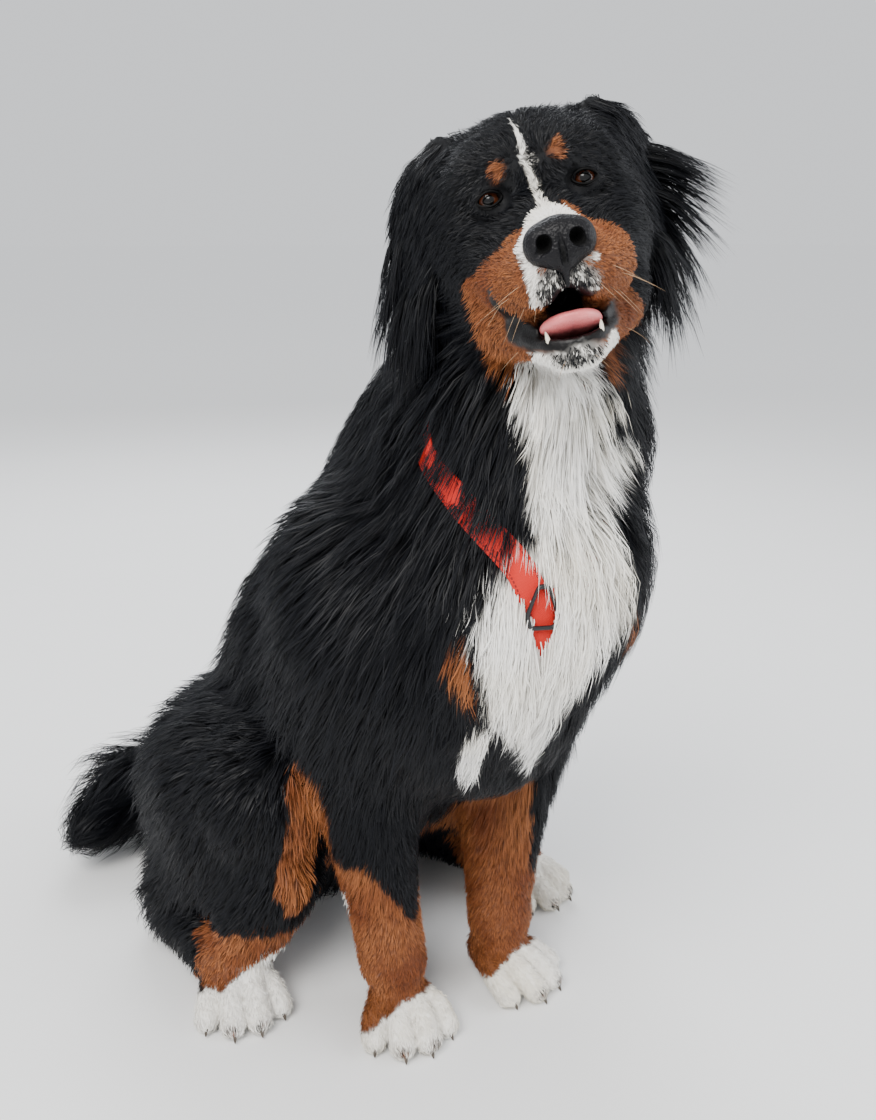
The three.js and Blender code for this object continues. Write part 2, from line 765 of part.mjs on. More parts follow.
// The head's pieces are cast in its own frame.
const skullGrid = [
  lines(-160, 160, 5, [-80, 80], 13),
  lines(-128, 200, 5, [-128, 15], 12),
  lines(-150, 95, 5.5),
];
const skull = cast(faceForm, skullGrid, 0.7, { longest: 60 });
const jawBlock = (by = 0) =>
  solidFrom(new THREE.BoxGeometry(JAW_WIDTH + 2 * by, 200, 200).translate(0, -80, -100));
const jawCell = side(MOUTH).intersect(side(JAW_BACK)).intersect(jawBlock());
const jawCellOut = side(MOUTH, GAP).intersect(side(JAW_BACK, GAP)).intersect(jawBlock(GAP));
const upper = skull.subtract(jawCellOut);
const lower = cast(faceForm, [lines(-50, 50, 7.5), lines(-110, -30, 7.5), lines(-140, -70, 7.5)], 1.6);

const strapSpans = [];

/** A flat strap laid on the coat through points round the body, as a closed band or with two ends. */
function strap(points, closed, every = 42) {
  const route = new THREE.CatmullRomCurve3(
    points.map((p) => new THREE.Vector3(...p)),
    closed,
    "centripetal",
  );
  const count = Math.round(route.getLength() / every);
  const places = route.getSpacedPoints(count).map((p) => settle(wholeForm, p, CORE, STRAP_LIFT));
  places.slice(1).forEach((p, i) => strapSpans.push(new THREE.Line3(places[i], p)));
  if (closed) places.pop();
  const near = (list, i) => {
    const last = list.length - 1;
    if (closed) return [list[i === 0 ? last : i - 1], list[i], list[i === last ? 0 : i + 1]];
    return [list[Math.max(0, i - 1)], list[i], list[Math.min(last, i + 1)]];
  };
  const outs = places.map((p) => normalOf(wholeForm, p, CORE));
  const rings = places.map((p, i) => {
    const [before, , after] = near(places, i);
    const [a, b, c] = near(outs, i);
    const out = a.clone().add(c).addScaledVector(b, 2).normalize();
    const across = after.clone().sub(before).cross(out).setLength(STRAP_W / 2);
    const corner = (w, h) => p.clone().addScaledVector(across, w).addScaledVector(out, h);
    return [corner(-1, 0), corner(1, 0), corner(1, STRAP_T), corner(-1, STRAP_T)];
  });
  return loft(rings, closed);
}
const BREAST = [-46, -129, 490]; // where the straps meet under the ring
const neckRoute = [
  BREAST,
  [-62, -118, 521],
  [-82, -81, 572],
  [-95, -17, 611],
  [-92, 40, 642],
  [-50, 120, 680],
  [10, 135, 690],
  [70, 110, 670],
  [105, 40, 630],
  [96, -30, 600],
  [70, -98, 556],
  [10, -125, 512],
];
const breastRoute = [
  [-46, -131, 472],
  [-34, -112, 400],
  [-12, -62, 335],
  [0, 20, 290],
  [0, 150, 262],
];
const girthSide = [
  [132, 186, 322],
  [130, 206, 372],
  [112, 236, 440],
  [62, 262, 496],
];
const girthRoute = [
  ...girthSide,
  [0, 272, 512],
  ...girthSide.map(([x, y, z]) => [-x, y, z]).reverse(),
];
const backRoute = [
  [8, 152, 676],
  [4, 200, 620],
  [0, 254, 530],
];
add("harness_neck_strap", strap(neckRoute, true), ORANGE);
add("harness_breast_strap", strap(breastRoute, false), ORANGE);
add("harness_girth_strap", strap(girthRoute, false), ORANGE);
add("harness_back_strap", strap(backRoute, false), ORANGE);

/** A three-sided ring with cut corners, its flat side up, lying on the plane across +Z. */
function triangleRing(width, height, bar, thick) {
  const cut = 5;
  const slope = new THREE.Vector2(width / 2, height).setLength(cut);
  const half1 = [
    [width / 2 - cut, height / 2],
    [width / 2 - slope.x, height / 2 - slope.y],
    [slope.x, slope.y - height / 2],
  ];
  const corners = [...half1, ...half1.map(([x, y]) => [-x, y]).reverse()];
  const rings = corners.map(([x, y]) => {
    const inwards = new THREE.Vector3(-x, -y - height / 8, 0).setLength(bar * 1.3);
    const corner = (w, z) => new THREE.Vector3(x, y, z).addScaledVector(inwards, w);
    return [corner(0, 0), corner(1, 0), corner(1, thick), corner(0, thick)];
  });
  return loft(rings, true);
}
const ringOut = normalOf(wholeForm, new THREE.Vector3(...BREAST), CORE);
const ringPlace = settle(wholeForm, new THREE.Vector3(...BREAST), CORE, STRAP_LIFT + STRAP_T + 1.2);
const ringAcross = new THREE.Vector3(0, 0, 1).cross(ringOut).normalize();
const ringUp = ringOut.clone().cross(ringAcross);
const ringFrame = new THREE.Matrix4().makeBasis(ringAcross, ringUp, ringOut).setPosition(ringPlace);
add("harness_ring", triangleRing(50, 46, 6, 5).transform([...ringFrame.elements]), LEATHER);

// Locks.
/** Random numbers from 0 to 1 that are the same each time. */
function dice(seed) {
  let state = seed;
  return () => {
    state = (state + 0x6d2b79f5) | 0;
    let t = Math.imul(state ^ (state >>> 15), 1 | state);
    t = (t + Math.imul(t ^ (t >>> 7), 61 | t)) ^ t;
    return ((t ^ (t >>> 14)) >>> 0) / 4294967296;
  };
}

// Where the straps show, no lock lies over them.
const bare = [...neckRoute.slice(0, 5), ...neckRoute.slice(-2), ...breastRoute.slice(0, 1)];
const bareRoute = new THREE.CatmullRomCurve3(
  [...neckRoute.slice(-2), ...neckRoute.slice(0, 5)].map((p) => new THREE.Vector3(...p)),
);
const barePlaces = bareRoute.getSpacedPoints(24).concat([new THREE.Vector3(-46, -131, 462)]);
const overStrap = (p) => barePlaces.some((q) => q.distanceTo(p) < 42);
const nearStrap = (p, reach) =>
  strapSpans.some((span) => span.closestPointToPoint(p, true, new THREE.Vector3()).distanceTo(p) < reach);

// Stations of a lock from root to tip: how far along, how wide, how thick, and how much of the
// way from the core's surface to the tips it has risen.
const LOCK = [
  { at: 0, wide: 0.8, thick: 1, risen: 0 },
  { at: 0.34, wide: 1, thick: 1, risen: 0.3 },
  { at: 0.72, wide: 0.8, thick: 0.7, risen: 0.75 },
  { at: 1, wide: 0, thick: 0, risen: 1 },
];
const LOCK_FACES = 64; // more than this and a lock is left out
const SINK = 11; // how deep a root lies in its core
const LOCK_THICK = 9;

/** A flat tapered lock from a root, laid along the coat by a lie function that gives a direction. */
function lock(root, { lie, length, width, thick = LOCK_THICK, tip = 1, sway = 0 }) {
  if (nearStrap(root, STRAP_W / 2 + 8)) return null;
  const p = settle(wholeForm, root.clone(), CORE, -SINK);
  const rings = [];
  let heading = null;
  for (const [i, station] of LOCK.entries()) {
    if (i > 0) {
      p.addScaledVector(heading, (station.at - LOCK[i - 1].at) * length);
      settle(wholeForm, p, CORE + (tip - CORE) * station.risen, 1);
      const over = STRAP_LIFT + STRAP_T + 2;
      const low = wholeForm(p.x, p.y, p.z, CORE) < over;
      if (low && nearStrap(p, STRAP_W)) settle(wholeForm, p, CORE, over);
      p.z = Math.max(p.z, 3);
    }
    if (i > 0 && overStrap(p)) return null;
    if (i + 1 === LOCK.length) break;
    const out = normalOf(wholeForm, p, CORE);
    heading = lie(p).clone();
    heading.addScaledVector(out, -heading.dot(out)).normalize();
    const across = heading.clone().cross(out);
    heading.addScaledVector(across, sway * Math.sin(station.at * 4 + 0.6)).normalize();
    across.crossVectors(heading, out).multiplyScalar((station.wide * width) / 2);
    rings.push([
      p.clone().sub(across),
      p.clone().add(across),
      p.clone().addScaledVector(out, thick * station.thick),
    ]);
  }
  return loft(rings, false, p);
}

/** Where a ray from a point inside the form leaves its core. */
function exit(from, direction) {
  const p = from.clone();
  let step = 8;
  if (wholeForm(p.x, p.y, p.z, CORE) > 0) return null;
  for (let i = 0; i < 80; i++) {
    p.addScaledVector(direction, step);
    if (wholeForm(p.x, p.y, p.z, CORE) > 0) {
      p.addScaledVector(direction, -step);
      step /= 2;
      if (step < 0.5) return p;
    }
  }
  return null;
}

/**
 * Locks in staggered rows round an axis: the rows run from one end to the other, and each row
 * covers a span of degrees round the axis, where 0 is the side of the facing direction.
 */
function shag(seed, { from, to, facing, span, rows, perRow, keep = () => true, ...shape }) {
  const roll = dice(seed);
  const a = new THREE.Vector3(...from);
  const b = new THREE.Vector3(...to);
  const axis = b.clone().sub(a).normalize();
  const u = new THREE.Vector3(...facing);
  u.addScaledVector(axis, -u.dot(axis)).normalize();
  const v = axis.clone().cross(u);
  const locks = [];
  for (let r = 0; r < rows; r++) {
    for (let k = 0; k < perRow; k++) {
      const along = (r + 0.5 + (roll() - 0.5) * 0.35) / rows;
      const turn = (k + 0.25 + 0.5 * (r % 2) + (roll() - 0.5) * 0.3) / perRow;
      const angle = THREE.MathUtils.degToRad(span[0] + (span[1] - span[0]) * turn);
      const direction = u.clone().multiplyScalar(Math.cos(angle)).addScaledVector(v, Math.sin(angle));
      const root = exit(a.clone().lerp(b, along), direction);
      const sway = (roll() - 0.5) * 0.5;
      const size = 0.85 + 0.3 * roll();
      if (!root || !keep(root)) continue;
      const { length, width } = shape;
      locks.push(lock(root, { ...shape, length: length * size, width: width * size, sway }));
    }
  }
  return locks.filter(Boolean);
}
/** A core with the locks that stay whole where they are cut clear of the nodes made before. */
function fuse(core, locks) {
  const whole = locks.filter((each) => {
    const cut = made.reduce((left, { grown }) => left.subtract(grown), each);
    return cut.numTri() < LOCK_FACES && cut.volume() > 0.6 * each.volume();
  });
  return whole.reduce((sum, each) => sum.add(each), core);
}
const toward = (x, y, z) => () => new THREE.Vector3(x, y, z);

/** A leaf along a path in the head's frame, across the muzzle's line, hollow towards the head. */
function leaf(path, widths, thick, hollow) {
  const route = new THREE.CatmullRomCurve3(path.map((p) => new THREE.Vector3(...p)));
  const count = widths.length - 1;
  const rings = widths.map((width, i) => {
    const p = route.getPoint(i / count);
    const along = route.getTangent(i / count);
    const across = new THREE.Vector3(0.55 * Math.sign(p.x), 0.83, 0);
    across.addScaledVector(along, -across.dot(along)).normalize();
    const out = across.clone().cross(along).multiplyScalar(Math.sign(p.x));
    const corner = (w, h) => p.clone().addScaledVector(across, (w * width) / 2).addScaledVector(out, h);
    const t = Math.max(1.5, thick * Math.min(1, width / 60));
    const deep = hollow * Math.min(1, width / 80);
    return [
      corner(-1, -deep),
      corner(-0.55, t / 2),
      corner(0, t),
      corner(0.55, t / 2),
      corner(1, -deep),
      corner(0.5, -t / 2 - deep * 0.2),
      corner(-0.5, -t / 2 - deep * 0.2),
    ];
  });
  return loft(rings);
}
const rightEar = leaf(
  [
    [-36, 68, 40],
    [-62, 66, 44],
    [-84, 70, 8],
    [-98, 74, -34],
    [-110, 76, -76],
  ],
  [40, 66, 84, 92, 88, 72, 48, 14],
  12,
  10,
);
const leftEar = leaf(
  [
    [34, 66, 38],
    [58, 66, 42],
    [76, 70, 12],
    [86, 76, -28],
    [88, 82, -76],
  ],
  [40, 66, 84, 92, 88, 72, 48, 14],
  12,
  10,
);

/** A flat tapered strand through points in the head's frame, its flat side towards the muzzle's line. */
function strand(points, width, thick) {
  const route = new THREE.CatmullRomCurve3(points.map((p) => new THREE.Vector3(...p)));
  const rings = LOCK.slice(0, -1).map((station) => {
    const p = route.getPointAt(station.at);
    const along = route.getTangentAt(station.at);
    const out = new THREE.Vector3(Math.sign(p.x) * 0.6, -0.8, 0);
    out.addScaledVector(along, -out.dot(along)).normalize();
    const across = along.clone().cross(out).multiplyScalar((station.wide * width) / 2);
    const rise = out.multiplyScalar(thick * station.thick);
    return [p.clone().sub(across), p.clone().add(across), p.clone().add(rise)];
  });
  return loft(rings, false, route.getPointAt(1));
}
const rightEarHair = [
  [[-92, 66, -24], [-112, 76, -60], [-140, 84, -104]],
  [[-98, 78, -40], [-114, 86, -84], [-122, 90, -134]],
  [[-92, 62, -36], [-100, 58, -84], [-98, 60, -126]],
  [[-80, 84, -20], [-94, 92, -66], [-104, 92, -112]],
];
const leftEarHair = [
  [[78, 84, 6], [104, 92, -6], [142, 92, -40]],
  [[82, 86, -16], [106, 92, -36], [132, 92, -72]],
  [[84, 84, -34], [100, 90, -66], [114, 92, -104]],
  [[84, 74, -40], [92, 72, -90], [84, 74, -136]],
];

const eyeBall = (at, radius) =>
  solidFrom(new THREE.SphereGeometry(radius, 12, 8).rotateX(Math.PI / 2).translate(at, 2, 0));
for (const [name, at] of [["eye_right", -EYE_APART], ["eye_left", EYE_APART]]) {
  add(name, toWorld(eyeBall(at, EYE_R)), IRIS, head);
}
const noseForm = blend(
  6,
  egg([0, -99, -37], [24, 16, 18]),
  egg([0, -99, -48], [17, 14, 14]),
  limb([
    [0, -100, -52, 9],
    [0, -94, -68, 4.5],
  ]),
);
const nostrils = mirrored(egg([11, -115, -40], [6, 9, 6.5]));
const noseGrid = [lines(-30, 30, 3.5), lines(-122, -80, 3.5), lines(-76, -16, 3.5)];
const noseCast = cast(carved(noseForm, nostrils), noseGrid, 0.35);
add("nose", toWorld(noseCast), LEATHER, head);
const headCell = side(NECK_TOP).intersect(side(CHIN));
const headCellOut = side(NECK_TOP, GAP).intersect(side(CHIN, GAP));
const overPlane = (p, { at, along }) =>
  (p.x - at[0]) * along[0] + (p.y - at[1]) * along[1] + (p.z - at[2]) * along[2];
const nape = shag(12, {
  from: inHead(0, 60, 10),
  to: inHead(0, 70, -100),
  facing: alongHead(0, 1, 0),
  span: [-85, 85],
  rows: 2,
  perRow: 4,
  keep: (p) => overPlane(p, NECK_TOP) > 6 && overPlane(p, CHIN) > 6,
  lie: toward(0, 0.25, -1),
  length: 110,
  width: 66,
});
add("head", fuse(toWorld(upper).intersect(headCell), nape), BLACK, head);
const rightStrands = rightEarHair.map((points) => strand(points, 34, 8));
const leftStrands = leftEarHair.map((points) => strand(points, 34, 8));
add("ear_right", toWorld(fuse(rightEar, rightStrands)), BLACK, head);
add("ear_left", toWorld(fuse(leftEar, leftStrands)), BLACK, head);
add("lower_jaw", toWorld(lower.intersect(jawCell)).intersect(headCell), WHITE, head);
const tongueForm = egg([0, -56, -97], [18, 34, 6], 0, -12);
const tongueGrid = [lines(-24, 24, 5), lines(-96, -20, 6), lines(-116, -80, 4)];
const tongueCast = cast(tongueForm, tongueGrid, 0.4);
add("tongue", toWorld(tongueCast), PINK, head);

// The neck, the torso, the legs and the tail.
const neckGrid = [lines(-170, 170, 18), lines(-190, 260, 18), lines(400, 850, 18)];
const neckCast = cast(wholeForm, neckGrid, BODY_SHIFT);
const torsoGrid = [lines(-200, 200, 18), lines(-170, 520, 18), lines(-20, 690, 18)];
const torsoCast = cast(wholeForm, torsoGrid, BODY_SHIFT);
const neckCore = neckCast.subtract(headCellOut).intersect(side(NECK_FOOT));
const inNeck = (p) => overPlane(p, NECK_FOOT) > 4 && (overPlane(p, NECK_TOP) < -12 || overPlane(p, CHIN) < -8);
const neckLocks = shag(11, {
  from: [20, -26, 740],
  to: [14, 40, 590],
  facing: [0, -1, 0],
  span: [0, 360],
  rows: 3,
  perRow: 8,
  keep: inNeck,
  lie: toward(0, 0.25, -1),
  length: 150,
  width: 78,
});
const throatLocks = shag(13, {
  from: [0, -40, 690],
  to: [-14, -30, 600],
  facing: [-0.2, -1, 0],
  span: [-75, 75],
  rows: 2,
  perRow: 3,
  keep: inNeck,
  lie: toward(0, 0, -1),
  length: 78,
  width: 62,
});
const collarLocks = shag(14, {
  from: [10, 30, 590],
  to: [0, 80, 530],
  facing: [0, -1, 0],
  span: [-160, 160],
  rows: 1,
  perRow: 9,
  keep: inNeck,
  lie: toward(0, 0.3, -1),
  length: 135,
  width: 80,
});
add("neck", fuse(neckCore, [...neckLocks, ...throatLocks, ...collarLocks]), BLACK);

const pawCast = (x, y) => {
  const frame = pawFrame(1, x, y);
  const local = placed(wholeForm, frame.clone().invert());
  const block = solidFrom(new THREE.BoxGeometry(130, 170, 2 * PASTERN));
  return cast(local, [lines(-52, 52, 7), lines(-70, 70, 7), lines(-10, 70, 7)], 0.9)
    .intersect(block)
    .transform([...frame.elements]);
};
const legSolids = {
  paw_front: pawCast(PAW_SPREAD, FRONT_PAW_Y),
  foreleg: cast(wholeForm, [lines(0, 165, 11), lines(10, 190, 11), lines(48, 345, 16)], 1.6)
    .intersect(legSleeve())
    .subtract(pawBlock(PAW_SPREAD, FRONT_PAW_Y, GAP)),
  paw_hind: pawCast(HIND_SPREAD, HIND_PAW_Y),
  hind_leg: cast(wholeForm, [lines(60, 250, 16), lines(80, 490, 16), lines(-16, 330, 16)], 3)
    .intersect(thighBlock())
    .subtract(pawBlock(HIND_SPREAD, HIND_PAW_Y, GAP))
    .subtract(legSleeve(GAP)),
};
const finishes = { paw_front: WHITE, foreleg: RUST, paw_hind: WHITE, hind_leg: BLACK };
let torso = torsoCast.subtract(side(NECK_FOOT, GAP)).subtract(tailTube(2 * GAP));
for (const cell of [legSleeve(GAP), thighBlock(GAP), pawBlock(PAW_SPREAD, FRONT_PAW_Y, GAP)]) {
  torso = torso.subtract(cell).subtract(flip(cell));
}
const inTorso = (p) =>
  overPlane(p, NECK_FOOT) < -4 &&
  !(Math.abs(p.x) > 82 && p.z < 318 && p.y > 78) &&
  !(Math.hypot(Math.abs(p.x) - 92, p.y - 96) < 72 && p.z < ELBOW + 6) &&
  limb(TAIL)(p.x, p.y, p.z, 1) > 4;
const chestLocks = shag(21, {
  from: [0, 0, 500],
  to: [0, 30, 335],
  facing: [0, -1, 0],
  span: [-75, 75],
  rows: 3,
  perRow: 5,
  keep: inTorso,
  lie: toward(0, 0, -1),
  length: 165,
  width: 66,
});
const flankLocks = shag(22, {
  from: [0, 90, 530],
  to: [0, 370, 170],
  facing: [0, 0.6, 0.8],
  span: [-118, 118],
  rows: 5,
  perRow: 7,
  keep: inTorso,
  lie: toward(0, 0.5, -0.87),
  length: 185,
  width: 84,
});
const bellyLocks = shag(23, {
  from: [0, 110, 330],
  to: [0, 240, 200],
  facing: [0, -0.7, -0.7],
  span: [-45, 45],
  rows: 1,
  perRow: 3,
  keep: inTorso,
  lie: toward(0, 0.3, -0.95),
  length: 100,
  width: 60,
});
const shoulderLocks = (seed, to) =>
  shag(seed, {
    from: [0, 40, 540],
    to: [0, 60, 360],
    facing: [to, -0.1, 0],
    span: [-34, 34],
    rows: 3,
    perRow: 2,
    keep: inTorso,
    lie: toward(0, 0.35, -1),
    length: 140,
    width: 80,
  });
const torsoLocks = [chestLocks, shoulderLocks(24, -1), shoulderLocks(25, 1), flankLocks, bellyLocks];
add("torso", fuse(torso, torsoLocks.flat()).intersect(above), BLACK);
const legLocks = {
  foreleg: shag(31, {
    from: [82, 92, 292],
    to: [70, 68, 80],
    facing: [0, 1, 0],
    span: [-48, 62],
    rows: 2,
    perRow: 2,
    lie: toward(0, 0.4, -1),
    length: 110,
    width: 44,
    thick: 6,
    tip: 1.8,
  }),
  hind_leg: shag(32, {
    from: [130, 215, 250],
    to: [128, 385, 70],
    facing: [1, 0, 0],
    span: [-80, 120],
    rows: 3,
    perRow: 4,
    keep: (p) => p.x > 92 && p.z > 22 && p.z < 306 && p.y < 470,
    lie: toward(0.05, 0.6, -0.8),
    length: 130,
    width: 84,
  }),
};
for (const [name, solid] of Object.entries(legSolids)) {
  const locks = legLocks[name] ?? [];
  add(name + "_right", fuse(flip(solid), locks.map(flip)).intersect(above), finishes[name]);
  add(name + "_left", fuse(solid, locks).intersect(above), finishes[name]);
}
const tailGrid = [lines(-300, 100, 16), lines(420, 660, 16), lines(-20, 240, 16)];
const tailCast = cast(wholeForm, tailGrid, BODY_SHIFT).intersect(tailTube()).intersect(above);
const tailLine = new THREE.CatmullRomCurve3(TAIL.map(([x, y, z]) => new THREE.Vector3(x, y, z)));
const tailLie = (p) => {
  const steps = [...Array(21).keys()].map((i) => i / 20);
  const near = steps.reduce((u, v) =>
    tailLine.getPoint(v).distanceTo(p) < tailLine.getPoint(u).distanceTo(p) ? v : u,
  );
  const outwards = p.clone().sub(tailLine.getPoint(near)).setZ(0).setLength(0.45);
  return tailLine.getTangent(near).add(outwards);
};
const brush = (seed, from, to, rows, keep) =>
  shag(seed, {
    from,
    to,
    facing: [0, 0, 1],
    span: [-120, 120],
    rows,
    perRow: 4,
    keep,
    lie: tailLie,
    length: 96,
    width: 58,
  });
const tailBase = brush(41, [-6, 478, 112], [-70, 555, 64], 2, (p) => overPlane(p, TAIL_ROOT) > 4);
const tailTip = brush(42, [-100, 564, 62], [-205, 532, 52], 2, (p) => p.x < -98);
add("tail_base", fuse(tailCast.subtract(side(TAIL_MIDDLE, GAP)), tailBase).intersect(above), BLACK);
add("tail_tip", fuse(tailCast.intersect(side(TAIL_MIDDLE)), tailTip).intersect(above), BLACK);

export default dog;
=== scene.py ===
"""A life-size Bernese mountain dog that sits in a walking harness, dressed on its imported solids.

One signed distance form, measured in millimetres from between the shoulders, gives the skin. The
coat stands on it as flat, tapered hairs in tufts that follow the lie of the coat, out to the same
tips as the solids. Skin and coat take their markings from the same functions. Places and
directions are arrays of three rows.
"""

import json
import logging
import math
from collections.abc import Callable, Sequence
from dataclasses import dataclass
from enum import Enum

import bpy
import numpy as np
from mathutils import Euler, Matrix, Vector

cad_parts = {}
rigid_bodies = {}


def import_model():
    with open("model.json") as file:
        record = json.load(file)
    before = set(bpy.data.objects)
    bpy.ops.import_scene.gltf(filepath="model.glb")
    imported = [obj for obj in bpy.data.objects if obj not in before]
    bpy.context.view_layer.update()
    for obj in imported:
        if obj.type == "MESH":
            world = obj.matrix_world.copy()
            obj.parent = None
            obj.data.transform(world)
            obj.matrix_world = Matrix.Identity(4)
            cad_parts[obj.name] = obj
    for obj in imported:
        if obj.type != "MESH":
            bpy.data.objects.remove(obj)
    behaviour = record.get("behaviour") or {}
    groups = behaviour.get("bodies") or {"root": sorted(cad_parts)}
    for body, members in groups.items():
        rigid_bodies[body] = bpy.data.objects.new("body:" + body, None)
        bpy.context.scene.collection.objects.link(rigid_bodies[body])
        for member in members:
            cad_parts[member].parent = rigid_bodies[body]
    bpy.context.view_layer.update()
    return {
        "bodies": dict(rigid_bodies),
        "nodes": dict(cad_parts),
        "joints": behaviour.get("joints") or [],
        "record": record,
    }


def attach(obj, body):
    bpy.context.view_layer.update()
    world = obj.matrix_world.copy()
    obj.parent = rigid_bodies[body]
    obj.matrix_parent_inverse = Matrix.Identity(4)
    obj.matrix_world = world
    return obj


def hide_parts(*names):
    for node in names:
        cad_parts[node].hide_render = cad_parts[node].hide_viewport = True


log = logging.getLogger("bernese")

Array = np.ndarray
Share = float | Array
Field = Callable[[Array, Share], Array]
Finish = bpy.types.Material
Piece = bpy.types.Object
Socket = bpy.types.NodeSocket

MM = 0.001
SEAT_Y = 400.0  # how far the seat lies behind the shoulders, in millimetres
EYES_MID = (-51.0, -116.0, 803.0)
HEAD_TURN = (-3.0, -13.0, -36.0)  # degrees: nose up, right ear down, to the dog's right
EYE_APART = 34.0  # from the head's middle
EYE_R = 12.5
FACE_SHARE = 0.45  # share of the coat's depth at which the short coat of the head ends
SEEN_SHARE = 0.9  # share at which the coat's markings are seen
FULL_TURN = 6.283  # radians


# ------------ fields


def balls(*stations: Sequence[float]) -> Field:
    """Makes the distance to a chain of balls that are joined by tapering stretches.

    Args:
        stations: Each ball's x, y, z, radius and, if it has one, coat depth.

    Returns:
        A field of places, as an array of three rows, and the share of the coat's depth.
    """
    rows = [tuple(float(v) for v in (*s, 0.0)[:5]) for s in stations]

    def distance(p: Array, share: Share = 0.0) -> Array:
        """Returns the distance at each place."""
        best = None
        for a, b in zip(rows, rows[1:]):
            d = [b[i] - a[i] for i in range(3)]
            px, py, pz = (p[i] - a[i] for i in range(3))
            t = np.clip((px * d[0] + py * d[1] + pz * d[2]) / sum(v * v for v in d), 0, 1)
            gap = np.sqrt((px - t * d[0]) ** 2 + (py - t * d[1]) ** 2 + (pz - t * d[2]) ** 2)
            gap -= a[3] + (b[3] - a[3]) * t + share * (a[4] + (b[4] - a[4]) * t)
            best = gap if best is None else np.minimum(best, gap)
        return best

    return distance


def egg(centre: Sequence[float], axes: Sequence[float], coat: float = 0.0, tip: float = 0.0) -> Field:
    """Makes the distance to an egg.

    Args:
        centre: Its middle.
        axes: Its three half axes.
        coat: The depth of the coat on it.
        tip: Degrees that it is turned about x.

    Returns:
        The field.
    """
    c, s = math.cos(math.radians(tip)), math.sin(math.radians(tip))

    def distance(p: Array, share: Share = 0.0) -> Array:
        """Returns the distance at each place."""
        y, z = p[1] - centre[1], p[2] - centre[2]
        q = (p[0] - centre[0], y * c + z * s, z * c - y * s)
        r = [a + share * coat for a in axes]
        k0 = np.sqrt(sum((v / a) ** 2 for v, a in zip(q, r)))
        k1 = np.sqrt(sum((v / a**2) ** 2 for v, a in zip(q, r)))
        return k0 * (k0 - 1) / np.maximum(k1, 1e-6)

    return distance


def soft_min(k: float, a: Array, b: Array) -> Array:
    """Returns the lesser of two distances, rounded over a width k where they meet."""
    h = np.maximum(k - np.abs(a - b), 0) / k
    return np.minimum(a, b) - h * h * k / 4


def blend(k: float, *fields: Field) -> Field:
    """Joins fields into one.

    Args:
        k: The width over which they run into each other.
        fields: The fields.

    Returns:
        Their smooth union.
    """

    def distance(p: Array, share: Share = 0.0) -> Array:
        """Returns the distance at each place."""
        value = fields[0](p, share)
        for each in fields[1:]:
            value = soft_min(k, value, each(p, share))
        return value

    return distance


def branch(k: float, base: Field, *fields: Field) -> Field:
    """Joins fields to a base, but not to each other.

    Args:
        k: The width over which each runs into the base.
        base: The field that carries them.
        fields: The others.

    Returns:
        The union.
    """

    def distance(p: Array, share: Share = 0.0) -> Array:
        """Returns the distance at each place."""
        root = base(p, share)
        value = root
        for each in fields:
            value = np.minimum(value, soft_min(k, root, each(p, share)))
        return value

    return distance


def mirrored(each: Field) -> Field:
    """Returns a field with its left half on both sides."""
    return lambda p, share=0.0: each(np.stack((np.abs(p[0]), p[1], p[2])), share)


def carved(base: Field, *holes: Field) -> Field:
    """Cuts fields out of one.

    Args:
        base: What is cut.
        holes: What is cut out, to its flesh.

    Returns:
        What is left.
    """

    def distance(p: Array, share: Share = 0.0) -> Array:
        """Returns the distance at each place."""
        value = base(p, share)
        for hole in holes:
            value = np.maximum(value, -hole(p, 0.0))
        return value

    return distance


def placed(each: Field, matrix: Matrix) -> Field:
    """Returns a field that is given in the frame of a matrix, in the outer frame."""
    inverse = matrix.inverted()
    return lambda p, share=0.0: each(moved(p, inverse), share)


def moved(p: Array, matrix: Matrix) -> Array:
    """Returns places, moved by a matrix."""
    m = np.array(matrix, dtype=np.float32)
    return m[:3, :3] @ p + m[:3, 3:4]


def turned(p: Array, matrix: Matrix) -> Array:
    """Returns directions, turned by a matrix."""
    return np.array(matrix, dtype=np.float32)[:3, :3] @ p


def unit(v: Array) -> Array:
    """Returns directions, at length 1."""
    return v / np.maximum(np.sqrt((v * v).sum(0)), 1e-9)


def smooth(low: float, high: float, value: Array) -> Array:
    """Returns 0 below low, 1 above high, and a smooth rise between them."""
    t = np.clip((value - low) / (high - low), 0, 1)
    return t * t * (3 - 2 * t)


def ripple(p: Array, size: float, seed: int = 0) -> Array:
    """Makes soft noise.

    Args:
        p: Places.
        size: The width of its waves.
        seed: Which noise it is.

    Returns:
        A value from about -1 to 1 for each place.
    """
    dice = np.random.default_rng(900 + seed)
    total = np.zeros_like(p[0])
    for _ in range(7):
        way = dice.normal(size=3).astype(np.float32)
        phase = float(dice.uniform(0, 6.28))
        total += np.sin((way[0] * p[0] + way[1] * p[1] + way[2] * p[2]) * (3.4 / size) + phase)
    return total / 3.2


